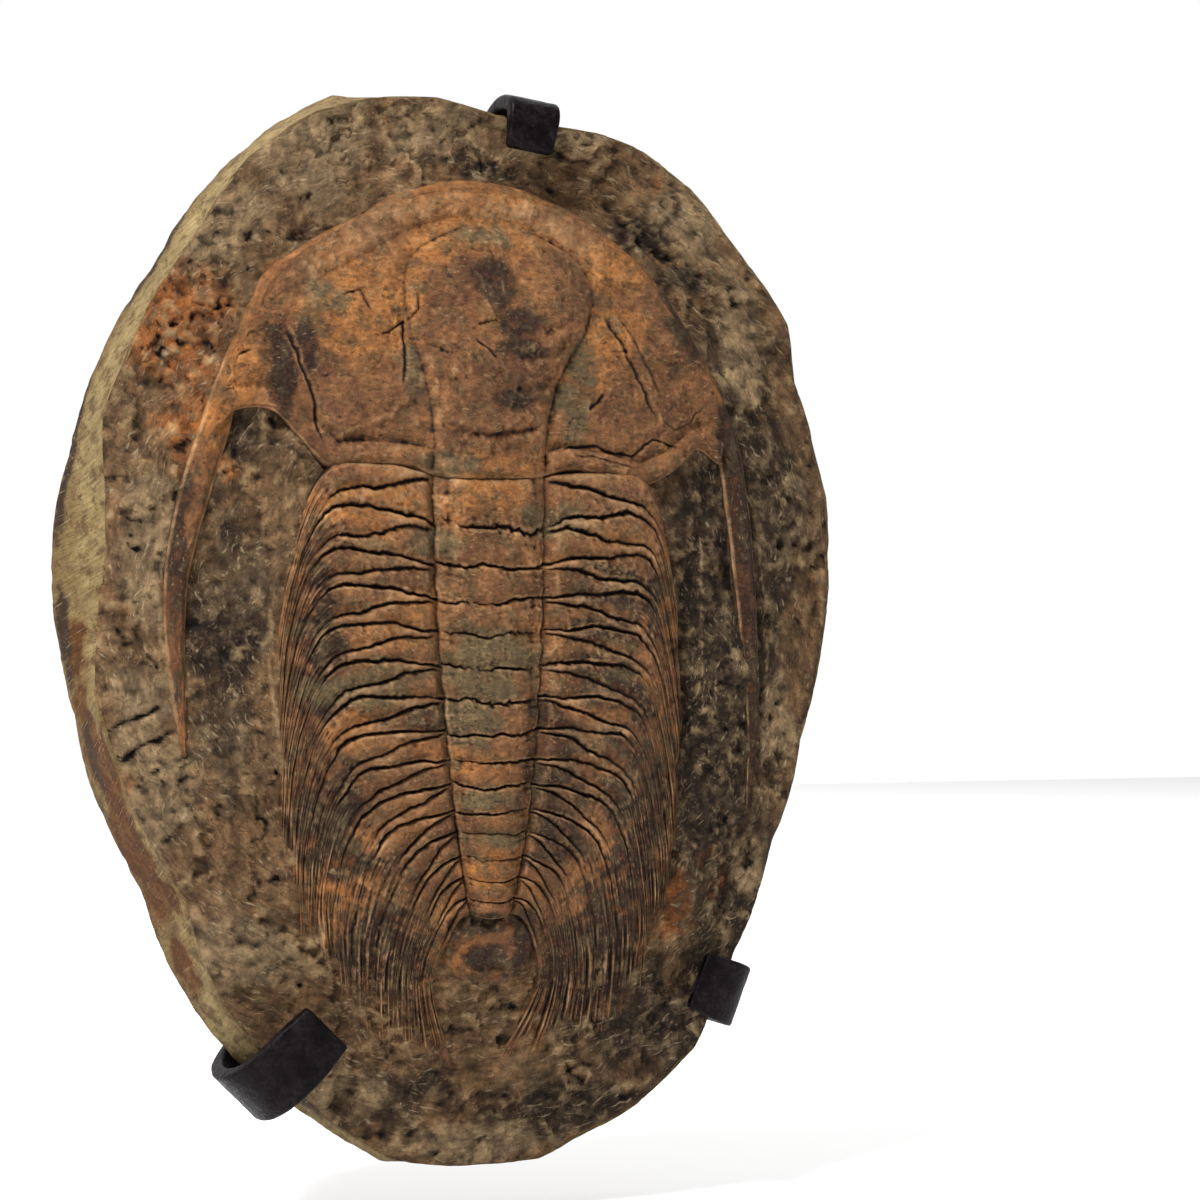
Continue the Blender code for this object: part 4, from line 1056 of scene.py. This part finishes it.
def make_strap(name, line, start, aim, size, material, cut=None):
    """Flat bar bent along its line: a rounded rectangle swept along it, hammered a little and drawn in
    at its ends. A cut shears its start to lie along the edge of the spine strap."""
    path, way, from_end, at = bent_bar(line, 4.0, 1.9)
    width, thickness = size
    across, through = bar_section(width / 2, thickness / 2, STRAP_CORNER, STRAP_COLUMNS)
    drop = np.clip(STRAP_CORNER - from_end, 0, STRAP_CORNER)
    inset = STRAP_CORNER - np.sqrt(STRAP_CORNER**2 - drop**2)
    drawn_in = 0.10 * step(16, 0, at[-1] - at)
    across = (1 - inset / (width / 2) - drawn_in)[:, None] * across
    through = (1 - inset / (thickness / 2) - drawn_in)[:, None] * through
    reach = path[:, :1] - way[:, 1:] * through
    depth = path[:, 1:] + way[:, :1] * through
    if cut:
        reach = reach + (cut(across) - path[0, 0]) * step(60, 0, at)[:, None]
    x = start[0] + reach * math.cos(aim) + across * math.sin(aim)
    height = start[1] + reach * math.sin(aim) - across * math.cos(aim)
    steel = np.stack([x, depth, height], axis=-1)
    hammered = 0.2 * rough(steel, 13, 3, 101) + 0.07 * rough(steel, 2.5, 2, 102) - 0.3
    hammered = hammered * np.sign(through)
    x = x - way[:, 1:] * hammered * math.cos(aim)
    height = height - way[:, 1:] * hammered * math.sin(aim)
    rings = place(x, depth + way[:, :1] * hammered, height)
    first, last = rings[0].mean(axis=0), rings[-1].mean(axis=0)
    piece = closed_tube(name + "_forging", rings, first, last, material, "forged_iron")
    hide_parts(name)


def make_cradle(material):
    """The spine strap, then the two arms, whose starts are cut to lie beside the spine."""
    upright = math.radians(90 - SPINE_LEAN)
    make_strap("spine_strap", SPINE_LINE, (0, 0), upright, SPINE_SIZE, material)
    for name, line, start, degrees in ARMS:
        aim = math.radians(degrees)
        side = -math.copysign(1, math.cos(aim))
        edge = side * (SPINE_SIZE[0] / 2 + STRAP_GAP)
        beside = (-edge * math.sin(upright), edge * math.cos(upright))

        def cut(across, start=start, aim=aim, beside=beside):
            from_x = start[0] + across * math.sin(aim) - beside[0]
            from_height = start[1] - across * math.cos(aim) - beside[1]
            off = from_x * math.sin(upright) - from_height * math.cos(upright)
            return -off / (math.cos(aim) * math.sin(upright) - math.sin(aim) * math.cos(upright))

        make_strap(name, line, start, aim, ARM_SIZE, material, cut)


def make_bolt(material):
    """Domed head and a shank turned about the bolt's axis. The shank's radius follows a real helix
    behind the arch: a triangle wave of the depth in pitches plus the share of the turn."""
    head = STRAP_THICKNESS + STRAP_GAP
    turn = np.linspace(0.03, 1, 12) * math.pi / 2
    dome = np.stack([head + BOLT_HEAD_HEIGHT * np.cos(turn), BOLT_HEAD_RADIUS * np.sin(turn)], axis=-1)
    under = np.array([(head, BOLT_HEAD_RADIUS - 0.3), (head, BOLT_RADIUS + 0.3), (head - 0.4, BOLT_RADIUS)])
    shank = np.arange(head - 0.8, -BOLT_REACH, -BOLT_PITCH / 12)
    shank = np.stack([shank, BOLT_RADIUS + 0 * shank], axis=-1)
    depth, radius = np.concatenate([dome, under, shank]).T[..., None]
    share = np.arange(BOLT_COLUMNS) / BOLT_COLUMNS
    cut = np.abs(2 * ((depth / BOLT_PITCH + share) % 1.0) - 1)
    threaded = step(1.5, 0.2, depth) * step(-BOLT_REACH, 0.8 - BOLT_REACH, depth)
    end = 1.0 * step(0.8 - BOLT_REACH, -BOLT_REACH, depth)
    radius = radius - 0.95 * threaded * cut - end
    angle = share * 2 * math.pi
    rings = place(radius * np.cos(angle), depth, radius * np.sin(angle))
    first = place(0, head + BOLT_HEAD_HEIGHT, 0)
    piece = closed_tube("threaded_bolt", rings, first, place(0, -BOLT_REACH, 0), material, "bolt_steel")
    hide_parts("bolt")


def make_knob(material):
    """Ammonite coiled in a logarithmic spiral: rings from one side's middle over the rim to the
    other's, whose thickness swells over each whorl and pinches at the seams between. After the last
    column, the mouth's columns climb from the inner whorl to the outer one and sink into the shell."""
    turn = np.linspace(0, 1, KNOB_COLUMNS)
    back = np.linspace(1, 0, MOUTH_COLUMNS + 2)[1:-1]
    whole = np.concatenate([turn, back])
    mouth = np.concatenate([0 * turn, 1 + 0 * back])
    outer = KNOB_RADIUS * np.exp(KNOB_GROWTH * 2 * math.pi * (1 - whole))
    sunk = 0.16 * mouth * arch(whole, 0.5)
    across = np.linspace(-1, 1, KNOB_ROWS)[:, None]
    share = np.cos(math.pi / 2 * np.abs(across) ** 1.25) * (1 - 1e-3) + 1e-3
    round_out = np.sqrt(np.clip(1 - ((share - 0.68) / 0.32) ** 2, 0, 1))
    whorls = -np.log(share) / (KNOB_GROWTH * 2 * math.pi)
    seam = np.minimum(whorls % 1.0, 1 - whorls % 1.0) * step(0.02, 0.1, whorls)
    face = np.where(share > 0.68, round_out, 0.62 + 0.38 * step(0.2, 0.68, share))
    pinch = 0.2 * bell(seam, 0.09) * step(0.3, 0.8, whorls)
    ribs = 0.012 * np.cos(KNOB_RIBS * 2 * math.pi * whole) * (1 - mouth)
    half = KNOB_HALF * (1 - 0.28 * whole) * (face - pinch + ribs * face)
    angle = KNOB_MOUTH - 2 * math.pi * np.concatenate([turn, 0 * back]) - sunk * step(0.3, 0.6, share)
    radius = share * outer * (1 - 0.02 * (1 - face))
    x = KNOB_MIDDLE[0] + radius * np.cos(angle)
    height = KNOB_MIDDLE[2] + radius * np.sin(angle)
    depth = KNOB_MIDDLE[1] - np.sign(across) * half * (np.abs(across) < 1)
    rings = place(x, depth, height)
    near_mouth = np.concatenate([step(0.03, 0.0, turn) * (turn < 0.03), 0.9 * bell(back - 0.12, 0.1)])
    pale = np.clip(near_mouth + bell(seam, 0.05) * step(0.3, 0.8, whorls), 0, 1)
    zero = 0 * x
    stains = np.stack([zero + mouth, zero + pale, zero, zero + 0.5], axis=-1).reshape(-1, 4)
    round_whorl = zero + 0.16 * (whole + np.round(whorls))
    grain = np.stack([round_whorl, 0.02 * (whorls % 1.0) + zero], axis=-1).reshape(-1, 2)
    masks = {"stains": stains, "grain": grain}
    middle_x, middle_depth, middle_height = KNOB_MIDDLE
    first = place(middle_x, middle_depth + 0.6 * KNOB_HALF, middle_height)
    last = place(middle_x, middle_depth - 0.6 * KNOB_HALF, middle_height)
    piece = closed_tube("coiled_ammonite", rings, first, last, material, "ammonite", **masks)
    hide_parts("ammonite_knob")


def make_stage():
    """Pale floor in a studio that is white behind the slab and dimmer in front of it."""
    bpy.ops.mesh.primitive_plane_add(size=6, location=(0, 0, CAD_BOX[0][2] - 0.02))
    floor = bpy.context.object
    floor.name = "studio_floor"
    material, _, shader, _ = new_material("matt_white_paint", Roughness=0.9)
    shader.inputs["Base Color"].default_value = linear("#fdfdfd")
    floor.data.materials.append(material)
    world = bpy.data.worlds.new("studio_white")
    world.use_nodes = True
    tree = world.node_tree
    background = tree.nodes["Background"]
    way = add(tree, "ShaderNodeTexCoord").outputs["Generated"]
    depth = add(tree, "ShaderNodeSeparateXYZ", {0: way}).outputs["Y"]
    light = add(tree, "ShaderNodeMapRange", {0: depth, 1: -0.5, 2: 0.35, 3: 0.3, 4: 1.0})
    tree.links.new(light.outputs[0], background.inputs["Strength"])
    background.inputs["Color"].default_value = linear("#ffffff")
    bpy.context.scene.world = world


def make_lights():
    """Square softboxes that face the slab's middle: name, place, size in metres and watts."""
    for name, place_at, size, power in (
        ("key_softbox", (-0.95, -0.75, 1.5), 0.55, 68),
        ("fill_softbox", (1.0, -1.5, 0.2), 1.0, 2),
        ("floor_softbox", (0.6, 1.6, 2.2), 3.0, 45),
    ):
        light = bpy.data.lights.new(name, "AREA")
        light.size = size
        light.energy = power
        obj = bpy.data.objects.new(name, light)
        obj.location = place_at
        toward = np.array((0, -0.05, -0.04)) - np.array(place_at)
        obj.rotation_euler = (
            math.atan2(math.hypot(toward[0], toward[1]), -toward[2]),
            0,
            math.atan2(toward[0], -toward[1]) + math.pi,
        )
        bpy.context.scene.collection.objects.link(obj)


# Camera: what it looks at, how far away it stands, how far it stands round to the left, and the
# photograph's side and shift in pixels.
LOOK_AT = (0.0, -0.045, -0.040)
CAMERA_DISTANCE = 1.23
CAMERA_AZIMUTH = math.radians(-19)
FRAME_PIXELS = 1200
FOCAL_PIXELS = 2880
SHIFT_PIXELS = (144, 30)


def make_camera():
    """Level camera at the photograph's viewing angle."""
    camera = bpy.data.cameras.new("photo_camera")
    obj = bpy.data.objects.new("photo_camera", camera)
    ahead = (-math.sin(CAMERA_AZIMUTH), math.cos(CAMERA_AZIMUTH), 0)
    obj.location = [look - CAMERA_DISTANCE * way for look, way in zip(LOOK_AT, ahead)]
    obj.rotation_euler = (math.pi / 2, 0, CAMERA_AZIMUTH)
    camera.angle = 2 * math.atan(FRAME_PIXELS / 2 / FOCAL_PIXELS)
    camera.shift_x, camera.shift_y = (pixels / FRAME_PIXELS for pixels in SHIFT_PIXELS)
    bpy.context.scene.collection.objects.link(obj)
    bpy.context.scene.camera = obj


def main():
    make_camera()
    bpy.context.scene.view_settings.view_transform = "Standard"
    # Siltstone chiselled by hand: matt, lumpy and scored, from olive brown to black, rusty in places.
    matrix = stone_material(
        "chiselled_siltstone", ("#8a6b4b", "#5c452e"), ("#b56a33", "#191110", "#967d5e"),
        "#0d0804", "#ab9169", 0.85, (0.8, 4, 0.36, 0.66, "#170e08", "#d6c098"),
    )
    # The same siltstone cut with a saw: paler and smoother, with long slanting marks.
    sawn = stone_material(
        "sawn_siltstone", ("#7a6640", "#6a5433"), ("#917e56", "#5a3210", "#2f231c"),
        "#2d1f10", "#b7a67e", 0.85, (0.5, 18, 0.3, 0.3, "#3d2d18", "#c3b48c"),
    )
    # Fossil shell turned to iron-stained calcite: rust brown with a faint sheen, with painted shade in its
    # cracks and hollows.
    shell = stone_material(
        "iron_stained_shell", ("#9b6a43", "#6d472f"), ("#b87840", "#281610", "#6d5d40"),
        "#130906", "#b58e66", 0.62, (0.7, 2.2, 0.3, 0.5, "#1c100a", "#c9a078"),
    )
    iron = iron_material()
    face = make_matrix_face(matrix)
    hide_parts("fossil_slab")
    make_edge_and_back(sawn)
    make_pleurae("left_pleurae", LEFT_LINES, -1, shell)
    make_pleurae("right_pleurae", RIGHT_LINES, 1, shell)
    make_axis(shell)
    make_head(shell)
    make_border(shell)
    make_tail(shell)
    make_cradle(iron)
    make_bolt(steel_material())
    make_knob(ammonite_material())
    make_stage()
    make_lights()


main()
